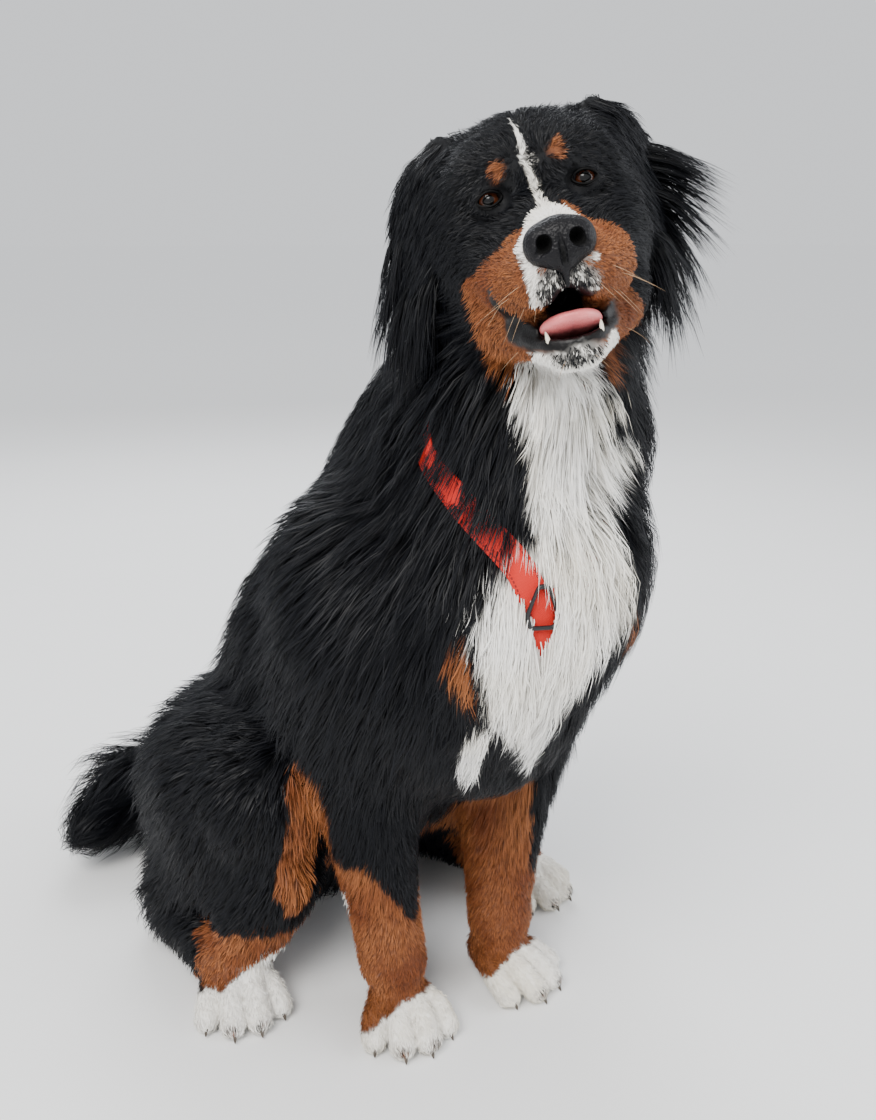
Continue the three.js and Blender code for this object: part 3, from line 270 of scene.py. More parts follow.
@dataclass
class Form:
    """The dog's form: the flesh, and the tips of the coat over it, in millimetres."""

    trunk_flat: float = 0.94
    paw_turn: float = 17.0
    front_paw: tuple = (66.0, 50.0)
    hind_paw: tuple = (188.0, 172.0)
    tail_line: tuple = (
        (0, 440, 140, 38, 26), (-14, 515, 96, 26, 46), (-88, 566, 76, 22, 60),
        (-165, 558, 74, 18, 58), (-214, 525, 62, 8, 38),
    )
    coat_dips: tuple = ((-104, 146, 582, 58, 26), (104, 146, 582, 58, 26), (62, -135, 405, 46, 20))
    ear_paths: tuple = (
        ((-42, 66, 34), (-66, 66, 34), (-86, 70, 4), (-100, 74, -36), (-110, 76, -78)),
        ((42, 66, 36), (62, 66, 36), (78, 70, 8), (87, 76, -30), (88, 82, -82)),
    )
    ear_halves: tuple = (16.0, 27.0, 41.0, 35.0, 9.0)
    ear_thin: float = 6.5  # times that an ear is thinner than it is wide
    ear_coat: float = 9.0

    def __post_init__(self) -> None:
        """Builds the fields of the body, the head and the parts that carry different coats."""
        self.head_frame = Matrix.Translation(EYES_MID) @ self.head_turn()
        self.to_head = self.head_frame.inverted()
        self.parts = self.body_parts()
        self.head = self.head_form()
        self.ears = {side: self.ear_form(side) for side in (-1, 1)}
        face = blend(9, self.head, self.both_ears)
        self.whole = self.dipped(blend(30, self.body, placed(face, self.head_frame)))
        self.holes = self.openings()
        self.skin = carved(self.whole, *[placed(hole, self.head_frame) for hole in self.holes])

    def both_ears(self, p: Array, share: Share = 0.0) -> Array:
        """Returns the distance to the nearer ear, for places in the head's frame."""
        return np.minimum(self.ears[-1](p, share), self.ears[1](p, share))

    def dipped(self, full: Field) -> Field:
        """Lays the coat flatter round each of the dips.

        Args:
            full: The form with its full coat.

        Returns:
            The form.
        """

        def distance(p: Array, share: Share = 0.0) -> Array:
            """Returns the distance at each place."""
            value = full(p, share)
            for x, y, z, wide, deep in self.coat_dips:
                away = (p[0] - x) ** 2 + (p[1] - y) ** 2 + (p[2] - z) ** 2
                value = value + share * deep * np.exp(-away / (2 * wide * wide))
            return value

        return distance

    @staticmethod
    def head_turn() -> Matrix:
        """Returns the head's turn: about z, then its own x, then its own y."""
        x, y, z = (math.radians(v) for v in HEAD_TURN)
        return Matrix.Rotation(z, 4, "Z") @ Matrix.Rotation(x, 4, "X") @ Matrix.Rotation(y, 4, "Y")

    def paw_frame(self, place: tuple[float, float]) -> Matrix:
        """Returns the frame of a left paw at an x and y."""
        turn = Matrix.Rotation(math.radians(self.paw_turn), 4, "Z")
        return Matrix.Translation((*place, 0)) @ turn

    def body_parts(self) -> dict[str, Field]:
        """Shapes the body, and sets its field.

        Returns:
            The fields of the parts that carry different coats, by name.
        """
        round_trunk = balls(
            (0, 5, 452, 88, 42), (0, 85, 425, 128, 42), (0, 190, 335, 128, 44),
            (0, 280, 240, 120, 46), (0, 372, 128, 120, 38),
        )
        flat = self.trunk_flat

        def trunk(p: Array, share: Share = 0.0) -> Array:
            """Returns the distance at each place."""
            return round_trunk(np.stack((p[0] / flat, p[1], p[2])), share) * flat

        shoulders = mirrored(
            balls(
                (30, 124, 526, 36, 36), (70, 95, 480, 66, 38), (80, 62, 420, 64, 36),
                (84, 95, 335, 50, 30),
            )
        )
        chest = balls(
            (0, -38, 500, 70, 52), (0, -42, 458, 66, 48), (-4, -24, 410, 60, 38),
            (-6, 2, 360, 56, 28),
        )
        neck = balls(
            (2, 94, 540, 84, 36), (20, 20, 620, 72, 36), (24, -26, 700, 64, 34),
            (14, -30, 762, 56, 24),
        )
        ruff = balls((62, -6, 748, 32, 28), (84, -6, 670, 42, 38), (84, 6, 590, 50, 40))
        throat = balls((-2, -20, 560, 66, 50), (-16, -62, 650, 50, 44))
        foreleg = blend(
            10,
            mirrored(
                balls(
                    (86, 95, 335, 46, 28), (82, 88, 250, 40, 14), (72, 72, 130, 33, 5),
                    (68, 62, 70, 33, 3),
                )
            ),
            balls(
                (104, 84, 325, 46, 30), (99, 76, 264, 44, 24), (92, 74, 227, 40, 16),
                (83, 72, 171, 35, 10), (75, 68, 118, 32, 4),
            ),
        )
        thigh = mirrored(
            blend(
                40,
                balls((100, 335, 170, 96, 34), (128, 240, 210, 88, 26), (148, 172, 235, 62, 12)),
                balls(
                    (148, 172, 235, 56, 12), (160, 250, 130, 50, 20), (170, 325, 50, 46, 26),
                    (182, 235, 40, 35, 9), (186, 190, 37, 33, 2),
                ),
                balls((146, 150, 140, 36, 10), (164, 172, 94, 36, 8)),
            )
        )
        toes = blend(
            2.5,
            mirrored(balls((9, 2, 33, 14, 1.5), (12, -28, 27, 12.6, 1.5), (13, -49, 14, 12.6, 1.5))),
            mirrored(balls((19, 8, 28, 13, 1.5), (32, -14, 22, 12.6, 1.5), (37, -31, 13, 12, 1.5))),
        )
        paw = blend(8, balls((0, 21, 30, 22, 2), (0, 2, 27, 25, 2)), toes)
        front_paw = mirrored(placed(paw, self.paw_frame(self.front_paw)))
        hind_paw = mirrored(placed(paw, self.paw_frame(self.hind_paw)))
        tail = balls(*self.tail_line)
        torso = blend(60, trunk, shoulders, chest)
        collar = blend(40, neck, throat, ruff)
        legs = (blend(16, foreleg, front_paw), blend(16, thigh, hind_paw))
        self.body = branch(30, torso, collar, *legs, tail)
        return {
            "neck": collar,
            "torso": blend(60, trunk, shoulders),
            "chest": chest,
            "foreleg": foreleg,
            "thigh": thigh,
            "front_paw": front_paw,
            "hind_paw": hind_paw,
            "tail": tail,
        }

    def head_form(self) -> Field:
        """Shapes the head without its ears.

        Returns:
            Its field in its own frame, where the muzzle points along -Y.
        """
        cranium = blend(
            26,
            egg((0, 72, 8), (66, 82, 52), 6),
            mirrored(egg((44, 46, -36), (30, 46, 44), 8)),
            mirrored(balls((18, -2, 14, 17, 2), (38, 16, 16, 18, 2))),
            balls((0, 112, -14, 58, 12), (0, 50, -50, 52, 16)),
        )
        muzzle = blend(
            14,
            balls((0, 4, -30, 28, 2), (0, -50, -40, 24, 2), (0, -86, -44, 21, 2)),
            mirrored(balls((36, -4, -50, 23, 3), (30, -44, -60, 23, 2), (17, -80, -60, 20, 2))),
        )
        sockets = mirrored(egg((EYE_APART + 2, -18, -1), (17, 16, 11)))
        lids = mirrored(egg((EYE_APART, 1, 0), (EYE_R + 3, EYE_R + 3.5, EYE_R + 1)))
        jaw = blend(
            12,
            balls((0, -72, -114, 11, 2), (0, -40, -108, 20, 2), (0, 10, -92, 34, 8)),
            mirrored(balls((10, -74, -112, 10, 2), (30, -36, -98, 15, 2), (40, 10, -84, 24, 6))),
        )
        lower_lip = mirrored(balls((3, -81, -107, 6), (17, -75, -105, 6), (27, -58, -97, 6)))
        skull = blend(16, carved(blend(26, cranium, muzzle), sockets), jaw)
        whole = blend(6, blend(8, skull, lower_lip), lids)
        return lambda p, share=0.0: whole(p, np.minimum(1.0, share / FACE_SHARE))

    def ear_form(self, side: int) -> Field:
        """Makes an ear, a leaf that is flattened across its own plane.

        Args:
            side: 1 for the left ear, -1 for the right one.

        Returns:
            Its field in the head's frame.
        """
        path = self.ear_paths[side > 0]
        across = Vector((0.55 * side, 0.83, 0)).normalized()
        along = Vector(path[4]) - Vector(path[2])
        along = (along - across * along.dot(across)).normalized()
        out = across.cross(along)
        squash = np.array([across, out * self.ear_thin, along], dtype=np.float32)
        rows = [(*(squash @ np.array(c, np.float32)), r) for c, r in zip(path, self.ear_halves)]

        def distance(p: Array, share: Share = 0.0) -> Array:
            """Returns the distance at each place."""
            q = squash @ p
            best = None
            for a, b in zip(rows, rows[1:]):
                d = [float(b[i] - a[i]) for i in range(3)]
                v = [q[i] - float(a[i]) for i in range(3)]
                t = np.clip(sum(v[i] * d[i] for i in range(3)) / sum(w * w for w in d), 0, 1)
                v = [v[i] - t * d[i] for i in range(3)]
                gap = np.sqrt(sum(w * w for w in v)) + 1e-6
                slope = np.sqrt(v[0] ** 2 + v[2] ** 2 + (self.ear_thin * v[1]) ** 2) / gap
                value = (gap - a[3] - (b[3] - a[3]) * t) / slope - share * self.ear_coat
                best = value if best is None else np.minimum(best, value)
            return best

        return distance

    def openings(self) -> list[Field]:
        """Shapes what is open in the face.

        Returns:
            The mouth, the line of the lips, the gaps of the lids and what lies behind the
            nose, in the head's frame.
        """
        mouth = blend(
            10,
            egg((0, -78, -93), (23, 56, 12), 0, -14),
            balls((0, -100, -80, 6), (0, -70, -76, 8)),
        )
        lips = mirrored(
            balls(
                (16, -88, -98, 3), (28, -72, -97, 6), (38, -58, -90, 7), (46, -56, -77, 5),
                (51, -58, -63, 2),
            )
        )
        lid_gap = mirrored(egg((EYE_APART + 1, -14, 0), (8.8, 13, 5.2)))
        under_nose = egg((0, -106, -43), (19, 14, 13))
        return [mouth, lips, lid_gap, under_nose]

    def slope(self, p: Array, share: Share = 0.0, at: Field | None = None) -> tuple[Array, Array]:
        """Gives the way out of the form.

        Args:
            p: Places.
            share: The share of the coat's depth.
            at: The field, which is the whole form if none is given.

        Returns:
            Unit directions, and the field's value.
        """
        form = at or self.whole
        value = form(p, share)
        parts = []
        for i in range(3):
            q = p.copy()
            q[i] += 1.0
            parts.append(form(q, share) - value)
        return unit(np.stack(parts)), value


# ------------ meshes


def cast(form: Field, low: Sequence[float], high: Sequence[float], cell: float) -> tuple[Array, Array]:
    """Meshes a field's surface by surface nets, looking closely only where the surface can be.

    Args:
        form: The field.
        low: The lowest corner of its box.
        high: The highest corner.
        cell: The size of a cell.

    Returns:
        Places, and faces of four corners.
    """
    size = [int(math.ceil((b - a) / cell / 8)) * 8 + 1 for a, b in zip(low, high)]
    lines = [(a + cell * np.arange(n)).astype(np.float32) for a, n in zip(low, size)]
    grid = None
    for step in (8, 2, 1):
        rows = [line[::step] for line in lines]
        shape = tuple(len(row) for row in rows)
        if grid is None:
            near = np.ones(shape, bool)
            grid = np.zeros(shape, np.float32)
        else:
            jump = last // step
            pick = np.meshgrid(*[(np.arange(n) + jump // 2) // jump for n in shape], indexing="ij")
            grid = grid[tuple(pick)]
            near = np.abs(grid) < cell * last * 1.3
        i, j, k = np.nonzero(near)
        p = np.stack((rows[0][i], rows[1][j], rows[2][k]))
        chunks = np.array_split(p, max(1, p.shape[1] // 200000), axis=1)
        values = [form(chunk, 0.0) for chunk in chunks]
        grid[i, j, k] = np.concatenate(values)
        last = step
    return net(grid, low, cell)


def net(grid: Array, low: Sequence[float], cell: float) -> tuple[Array, Array]:
    """Joins the cells that a surface crosses.

    Args:
        grid: A field's values on a grid.
        low: The place of its first corner.
        cell: The size of a cell.

    Returns:
        Places, and faces of four corners, outside up.
    """
    inside = grid < 0
    part = [slice(0, -1), slice(1, None)]
    ends = [(a, b, c) for a in part for b in part for c in part]
    count = sum(inside[end].astype(np.uint8) for end in ends)
    cells = np.nonzero((count > 0) & (count < 8))
    total = np.zeros((3, len(cells[0])), np.float32)
    hits = np.zeros(len(cells[0]), np.float32)
    for axis in range(3):
        others = [n for n in range(3) if n != axis]
        for u in (0, 1):
            for v in (0, 1):
                start = [cells[0], cells[1], cells[2]]
                start[others[0]] = start[others[0]] + u
                start[others[1]] = start[others[1]] + v
                end = list(start)
                end[axis] = end[axis] + 1
                a, b = grid[tuple(start)], grid[tuple(end)]
                crossing = (a < 0) != (b < 0)
                t = np.where(crossing, a / np.where(crossing, a - b, 1), 0)
                for n in range(3):
                    shift = t if n == axis else (u if n == others[0] else v)
                    total[n] += np.where(crossing, shift, 0)
                hits += crossing
    places = total / hits
    for n in range(3):
        places[n] = low[n] + cell * (places[n] + cells[n])
    index = np.full(count.shape, -1, np.int32)
    index[cells] = np.arange(len(cells[0]), dtype=np.int32)
    faces = []
    for axis in range(3):
        a = [slice(1, -1)] * 3
        b = [slice(1, -1)] * 3
        a[axis], b[axis] = part
        first, second = inside[tuple(a)], inside[tuple(b)]
        for way, flips in ((first & ~second, False), (~first & second, True)):
            at = list(np.nonzero(way))
            for n in range(3):
                if n != axis:
                    at[n] = at[n] + 1
            u, v = [(1, 2), (2, 0), (0, 1)][axis]
            corners = []
            for du, dv in ((-1, -1), (0, -1), (0, 0), (-1, 0)):
                place = list(at)
                place[u] = place[u] + du
                place[v] = place[v] + dv
                corners.append(index[tuple(place)])
            quad = np.stack(corners, 1)
            faces.append(quad[:, ::-1] if flips else quad)
    return places, np.concatenate(faces)


def mesh_object(name: str, places: Array, faces: Array) -> Piece:
    """Adds a mesh from arrays.

    Args:
        name: The piece's name.
        places: Vertices in millimetres in the form's frame.
        faces: Faces, all of three or all of four corners.

    Returns:
        The new object, at the origin and shaded smooth.
    """
    mesh = bpy.data.meshes.new(name)
    corners = faces.shape[1]
    mesh.vertices.add(places.shape[1])
    mesh.loops.add(faces.size)
    mesh.polygons.add(len(faces))
    world = places.astype(np.float32) * MM
    world[1] -= SEAT_Y * MM
    mesh.vertices.foreach_set("co", world.T.ravel())
    mesh.loops.foreach_set("vertex_index", faces.astype(np.int32).ravel())
    mesh.polygons.foreach_set("loop_start", np.arange(0, faces.size, corners, dtype=np.int32))
    mesh.polygons.foreach_set("use_smooth", np.ones(len(faces), bool))
    mesh.update()
    mesh.validate()
    piece = bpy.data.objects.new(name, mesh)
    bpy.context.scene.collection.objects.link(piece)
    return piece


def select_only(piece: Piece) -> None:
    """Selects one piece alone and makes it active.

    Args:
        piece: The piece.
    """
    bpy.ops.object.select_all(action="DESELECT")
    piece.select_set(True)
    bpy.context.view_layer.objects.active = piece


def apply_modifier(piece: Piece, kind: str, **values: object) -> None:
    """Adds a modifier and applies it.

    Args:
        piece: The piece that it works on.
        kind: The modifier's type.
        values: Its settings.
    """
    select_only(piece)
    modifier = piece.modifiers.new(kind.title(), kind)
    for key, value in values.items():
        setattr(modifier, key, value)
    bpy.ops.object.modifier_apply(modifier=modifier.name)


def form_places(piece: Piece) -> Array:
    """Reads where a piece's vertices are.

    Args:
        piece: The piece.

    Returns:
        Places, in millimetres in the form's frame.
    """
    co = np.empty(len(piece.data.vertices) * 3, np.float32)
    piece.data.vertices.foreach_get("co", co)
    p = co.reshape(-1, 3).T / MM
    p[1] += SEAT_Y
    return p


def store(piece: Piece, name: str, values: Array) -> None:
    """Stores four numbers for each vertex as a colour attribute, given in four rows."""
    attribute = piece.data.attributes.new(name, "FLOAT_COLOR", "POINT")
    attribute.data.foreach_set("color", values.T.astype(np.float32).ravel())


# ------------ markings


@dataclass
class Markings:
    """Where the coat is white, rust or bare, told from places on the skin."""

    form: Form

    def patch(self, p: Array, each: Field, edge: float, wobble: float = 0.0, seed: int = 0) -> Array:
        """Gives a soft-edged mask.

        Args:
            p: Places.
            each: The field that the mask fills.
            edge: Half the width of its soft edge.
            wobble: How far its edge wanders.
            seed: Which noise moves the edge.

        Returns:
            The mask, from 0 to 1.
        """
        value = each(p, 0.0)
        if wobble:
            value = value + wobble * ripple(p, 26, seed)
        return 1 - smooth(-edge, edge, value)

    def head_masks(self, p: Array) -> tuple[Array, Array]:
        """Gives the markings of the head.

        Args:
            p: Places in the head's frame.

        Returns:
            The masks of white and rust.
        """
        x, y, z = p
        wide = np.abs(x)
        levels = (-11, -2, 13, 27, 43, 55)
        middle = np.interp(z, levels, (-1, -2, -4, -4, -5, -6.5)).astype(np.float32)
        half = np.interp(z, levels, (4.5, 2.9, 2.4, 2.2, 1.9, 0.6)).astype(np.float32)
        strip = np.abs(x - middle + 0.5 * ripple(p, 9, 1)) - half
        blaze = (1 - smooth(-1.2, 1.2, strip)) * smooth(-16, -10, z) * (1 - smooth(4, 40, y))
        band = blend(
            8,
            balls((-2, -60, -20, 15), (-1, -84, -30, 23)),
            balls((-22, -84, -38, 7), (-23, -100, -56, 7), (-21, -98, -74, 6), (-24, -88, -84, 5)),
            balls((21, -88, -38, 4), (21, -100, -56, 4)),
        )
        chin = blend(
            8, balls((-20, -66, -120, 14), (20, -66, -118, 15)), egg((0, -50, -130), (30, 30, 18))
        )
        white = np.maximum.reduce(
            [blaze, self.patch(p, band, 2.5, 1.4, 2), self.patch(p, chin, 4, 2.0, 3)]
        )
        below = np.clip(-112 - z, 0, 20)
        throat = smooth(-4, 4, x + 23 + 1.1 * below + 3 * ripple(p, 20, 4))
        throat = throat * (1 - smooth(-4, 4, x - 10 - 0.4 * below))
        white = np.maximum(white, throat * smooth(108, 116, -z) * (1 - smooth(0, 25, y)))
        brows = np.maximum(
            self.patch(p, egg((-28, -20, 17), (5.4, 14, 8.2)), 3.0, 0.3, 5),
            self.patch(p, egg((20, -20, 23), (5.0, 14, 9.4)), 3.0, 0.3, 6),
        )
        shade = ripple(p, 20, 7)
        slant = np.where(x < 0, -27 - 0.56 * (wide - 23), -16 - 0.9 * (wide - 28)) + 2.5 * shade
        back = np.interp(z, (-150, -121, -91, -70, -50, -35), (34, 31, -26, -44, -46, -34))
        back = back.astype(np.float32)
        back = np.where(x < 0, -4 - 0.12 * np.maximum(0, -68 - z), back) + 3 * shade
        low = np.where(x < 0, -138.0, -156.0)
        cheek = (1 - smooth(-3, 3, z - slant)) * (1 - smooth(-5, 5, y - back))
        cheek = cheek * smooth(-8, 8, z - low)
        rust = np.maximum(brows, cheek * smooth(8, 16, wide)) * (1 - white)
        nose_foot = blend(8, egg((0, -98, -72), (22, 26, 17)), egg((-2, -86, -118), (20, 16, 9)))
        speckle = self.patch(p, nose_foot, 6)
        grain = smooth(-1.1, -0.3, ripple(p, 1.7, 11) + 0.3 * ripple(p, 7, 12))
        white = np.maximum(white, speckle) * (1 - 0.92 * speckle * grain)
        rust = rust * (1 - speckle)
        return white, rust

    def bare(self, p: Array) -> Array:
        """Gives the bare lips and lids.

        Args:
            p: Places in the head's frame.

        Returns:
            Their mask.
        """
        mouth, lips, lid, under_nose = (hole(p, 0.0) for hole in self.form.holes)
        rim = balls((-20, -79, -105, 6), (-7, -88, -107, 5), (8, -88, -107, 5), (20, -80, -104, 5.5))
        corner = balls(
            (-50, -58, -61, 3), (-47, -53, -76, 8), (-42, -51, -91, 12), (-30, -66, -99, 11),
            (-19, -80, -102, 6.5),
        )
        fold = balls((21, -79, -103, 5.5), (28, -68, -97, 5), (30, -62, -90, 3.5))
        shine = self.patch(p, egg((3, -89, -111), (11, 6, 2.2)), 1.2)
        edges = [self.patch(p, each, 1.5, 0.6, 14) for each in (corner, fold)]
        edges.append(self.patch(p, rim, 1.5, 0.6, 13) * (1 - shine))
        edges.append((1 - smooth(1.5, 4.0, lips)) * (1 - smooth(31, 37, p[0])))
        edges += [1 - smooth(2.0, 5.0, mouth), 1 - smooth(0.3, 1.8, lid)]
        edges.append(1 - smooth(1, 3, under_nose))
        return np.maximum.reduce(edges)

    def bib(self, p: Array) -> Array:
        """Gives the white breast, between its two edges at each height.

        Args:
            p: Places in the form's frame.

        Returns:
            Its mask.
        """
        x, y, z = p
        left = ((310, -12), (350, -45), (380, -72), (400, -84), (430, -92), (465, -100))
        left += ((520, -80), (540, -50), (590, -58), (604, -54), (625, -70), (645, -80))
        left += ((670, -80), (685, -72), (720, -60))
        right = ((310, -12), (375, -26), (425, -8), (460, 36), (530, 30), (570, 38), (588, 104))
        right += ((600, 76), (612, 25), (622, 42), (635, 62), (652, 10), (674, -12), (720, -16))
        edges = [np.interp(z, *zip(*side)).astype(np.float32) for side in (left, right)]
        rough = 3.5 * ripple(p, 15, 20)
        inside = smooth(-4, 4, x - edges[0] + rough) * (1 - smooth(-4, 4, x - edges[1] + rough))
        return inside * (1 - smooth(-66, -44, y)) * smooth(300, 316, z) * (1 - smooth(705, 725, z))

    def toes(self, p: Array) -> Array:
        """Gives the white feet.

        Args:
            p: Places in the form's frame.

        Returns:
            Their mask.
        """
        x, y, z = p
        wide = np.abs(x)
        white = np.zeros_like(x)
        for place, line in (
            (self.form.front_paw, ((-34, 60), (-22, 42), (-8, 27), (10, 15), (30, 8))),
            (self.form.hind_paw, ((-37, 64), (-25, 54), (-12, 41), (4, 35), (30, 20))),
        ):
            q = np.stack((wide - place[0], y - place[1], z))
            near = 1 - smooth(56, 72, np.sqrt(q[0] ** 2 + q[1] ** 2))
            forward = q[1] - 0.28 * (x - np.sign(x) * place[0])
            top = np.interp(forward, *zip(*line)).astype(np.float32) + 4 * ripple(p, 16, 22)
            foot = near * (1 - smooth(-3, 3, z - top)) * (1 - smooth(20, 30, q[1]))
            white = np.maximum(white, foot)
        return white

    def legs(self, p: Array) -> Array:
        """Gives the rust on the legs.

        Args:
            p: Places in the form's frame.

        Returns:
            Its mask.
        """
        x, y, z = p
        parts = self.form.parts
        wide = np.abs(x)
        rough = ripple(p, 26, 23)
        leg = np.minimum(parts["foreleg"](p, 0.6), parts["front_paw"](p, 0.6))
        near_leg = 1 - smooth(4, 18, leg)
        line = ((-122, -108, -92, -72, -61, -53, -43, -30), (184, 182, 168, 140, 124, 122, 140, 168))
        right = np.interp(x, *line).astype(np.float32)
        left = np.where(y < 120, 304.0, 210.0)
        top = np.where(x < 0, right, left) + 6 * rough
        outer = smooth(-5, 5, 0.74 * x - 0.67 * y - 44 + 3 * rough) * (x > 0) * smooth(104, 122, z)
        foreleg = near_leg * (1 - smooth(-6, 6, z - top)) * (1 - outer)
        knee = mirrored(
            balls(
                (156, 80, 282, 18), (143, 76, 250, 25), (140, 80, 220, 27), (141, 89, 187, 27),
                (150, 110, 147, 20), (153, 122, 124, 12),
            )
        )
        seen = {name: parts[name](p, SEEN_SHARE) for name in ("foreleg", "torso", "thigh")}
        bared = np.minimum(seen["foreleg"], seen["torso"]) - seen["thigh"]
        thigh = self.patch(p, knee, 4, 4.0, 24) * smooth(-18, -6, bared)
        hind = 1 - smooth(0, 12, np.minimum(parts["hind_paw"](p, 0.6), parts["thigh"](p, 0.9)))
        hock = hind * (1 - smooth(-5, 5, z - 68 - 0.39 * (229 - y) + 4 * rough)) * (wide > 120)
        hock = hock * (1 - smooth(232, 250, y))
        hock = hock * smooth(-5, 5, 214 + 0.27 * (229 - y) - wide + 3 * rough)
        hock = hock * (1 - smooth(-6, 6, z - 96 + 3 * rough))
        inside = mirrored(balls((90, 200, 120, 40), (120, 120, 60, 30)))
        return np.maximum.reduce([foreleg, thigh, hock, 0.8 * self.patch(p, inside, 12, 6.0, 27)])

    def body_masks(self, p: Array) -> tuple[Array, Array]:
        """Gives the markings of the body.

        Args:
            p: Places in the form's frame.

        Returns:
            The masks of white and rust.
        """
        tuft = balls((-79, -88, 364, 11), (-70, -68, 335, 10), (-62, -48, 302, 6))
        strands = balls((-112, 78, 170, 5), (-106, 100, 110, 9))
        white = [self.bib(p), self.patch(p, tuft, 5, 3.0, 21), self.toes(p)]
        white.append(0.6 * self.patch(p, strands, 4, 3.0, 19))
        white = np.maximum.reduce(white)
        breast = [
            balls((-110, -90, 450, 6), (-106, -96, 432, 9), (-98, -102, 406, 8)),
            balls((52, -132, 446, 9), (46, -136, 428, 7)),
        ]
        q = moved(p, self.form.to_head)
        lobes = [
            balls((-56, -14, -100, 12), (-54, -14, -118, 10), (-50, -14, -134, 6)),
            balls((44, -30, -104, 12), (46, 4, -118, 15), (42, 20, -136, 14), (37, 22, -151, 8)),
        ]
        rust = [self.legs(p), *[self.patch(p, each, 4, 3.0, 26) for each in breast]]
        rust += [self.patch(q, each, 4, 3.0, 18) for each in lobes]
        return white, np.maximum.reduce(rust) * (1 - white)

    def masks(self, p: Array) -> tuple[Array, Array, Array]:
        """Gives the markings of the whole dog.

        Args:
            p: Places in the form's frame.

        Returns:
            The masks of white, rust and bare skin.
        """
        q = moved(p, self.form.to_head)
        white, rust = self.head_masks(q)
        bare = self.bare(q)
        on_head = 1 - smooth(-4, 14, self.form.head(q, 1.0) - self.form.body(p, 1.0))
        body_white, body_rust = self.body_masks(p)
        white = white * on_head + body_white * (1 - on_head)
        rust = rust * on_head + body_rust * (1 - on_head)
        return white, rust, bare * on_head


# ------------ finishes


class Sheet:
    """A node tree that is written line by line."""

    def __init__(self, tree: bpy.types.NodeTree) -> None:
        """Keeps the tree."""
        self.tree = tree

    def fill(self, made: bpy.types.Node, inputs: dict[str | int, object]) -> None:
        """Gives a node its inputs.

        Args:
            made: The node.
            inputs: Sockets to join to the inputs, or values to set on them.
        """
        for key, value in inputs.items():
            if isinstance(value, Socket):
                self.tree.links.new(value, made.inputs[key])
            else:
                made.inputs[key].default_value = value

    def node(
        self, kind: str, inputs: dict[str | int, object] | None = None, **values: object
    ) -> bpy.types.Node:
        """Adds a node.

        Args:
            kind: The node's type.
            inputs: What fill takes.
            values: The node's own settings.

        Returns:
            The node.
        """
        made = self.tree.nodes.new(kind)
        for key, value in values.items():
            setattr(made, key, value)
        self.fill(made, inputs or {})
        return made

    def place(self) -> Socket:
        """Returns the place in the piece's own frame."""
        return self.node("ShaderNodeTexCoord").outputs["Object"]

    def stored(self) -> list[Socket]:
        """Returns the four numbers stored for each vertex."""
        found = self.node("ShaderNodeAttribute", attribute_name="coat").outputs
        return [*self.node("ShaderNodeSeparateColor", {0: found["Color"]}).outputs, found["Alpha"]]

    def maths(self, kind: str, a: object, b: object = 0.0, c: object = 0.0) -> Socket:
        """Returns the outcome of one sum."""
        return self.node("ShaderNodeMath", {0: a, 1: b, 2: c}, operation=kind).outputs[0]

    def mix(self, factor: object, a: object, b: object, kind: str = "MIX") -> Socket:
        """Returns two colours mixed."""
        inputs = {0: factor, 6: a, 7: b}
        return self.node("ShaderNodeMix", inputs, data_type="RGBA", blend_type=kind).outputs[2]

    def ramp(self, value: object, low: float, high: float, kind: str = "LINEAR") -> Socket:
        """Returns where a value stands between two others, from 0 to 1."""
        inputs = {0: value, 1: low, 2: high}
        return self.node("ShaderNodeMapRange", inputs, interpolation_type=kind).outputs[0]

    def noise(self, place: object, scale: float, detail: float = 2.0) -> Socket:
        """Returns the value of a noise."""
        inputs = {"Vector": place, "Scale": scale, "Detail": detail}
        return self.node("ShaderNodeTexNoise", inputs).outputs[0]

    def cells(self, place: object, scale: float, kind: str = "F1") -> Socket:
        """Returns the distance to the middle of the nearest of many cells."""
        inputs = {"Vector": place, "Scale": scale}
        return self.node("ShaderNodeTexVoronoi", inputs, feature=kind).outputs[0]

    def waves(self, place: object, per_metre: float) -> Socket:
        """Returns a wave along one axis."""
        return self.maths("SINE", self.maths("MULTIPLY", place, FULL_TURN * per_metre))

    def bump(
        self, height: object, strength: float, distance: float, invert: bool = False
    ) -> Socket:
        """Returns the direction of a surface with bumps."""
        inputs = {"Height": height, "Strength": strength, "Distance": distance}
        return self.node("ShaderNodeBump", inputs, invert=invert).outputs[0]


def rgb(red: float, green: float, blue: float) -> tuple[float, float, float, float]:
    """Returns a screen colour, from 0 to 255, as linear light."""
    return (*[((v / 255) ** 2.2) for v in (red, green, blue)], 1.0)


@dataclass(frozen=True)
class PlainFinish:
    """A fine-grained plain finish. Colours are linear light."""

    name: str
    dark: tuple
    light: tuple
    rough: float
    gloss: float


HORN = PlainFinish("claw_horn", rgb(42, 36, 32), rgb(92, 82, 72), 0.4, 0.5)
LID_EDGE = PlainFinish("lid_edge", rgb(4, 4, 5), rgb(10, 9, 10), 0.5, 0.12)
WHISKER = PlainFinish("whisker", rgb(150, 116, 84), rgb(196, 170, 140), 0.5, 0.12)
TOOTH = PlainFinish("tooth", rgb(206, 196, 172), rgb(236, 230, 214), 0.2, 0.5)
RING_BLACK = PlainFinish("ring_black", rgb(14, 14, 16), rgb(34, 34, 37), 0.3, 0.5)


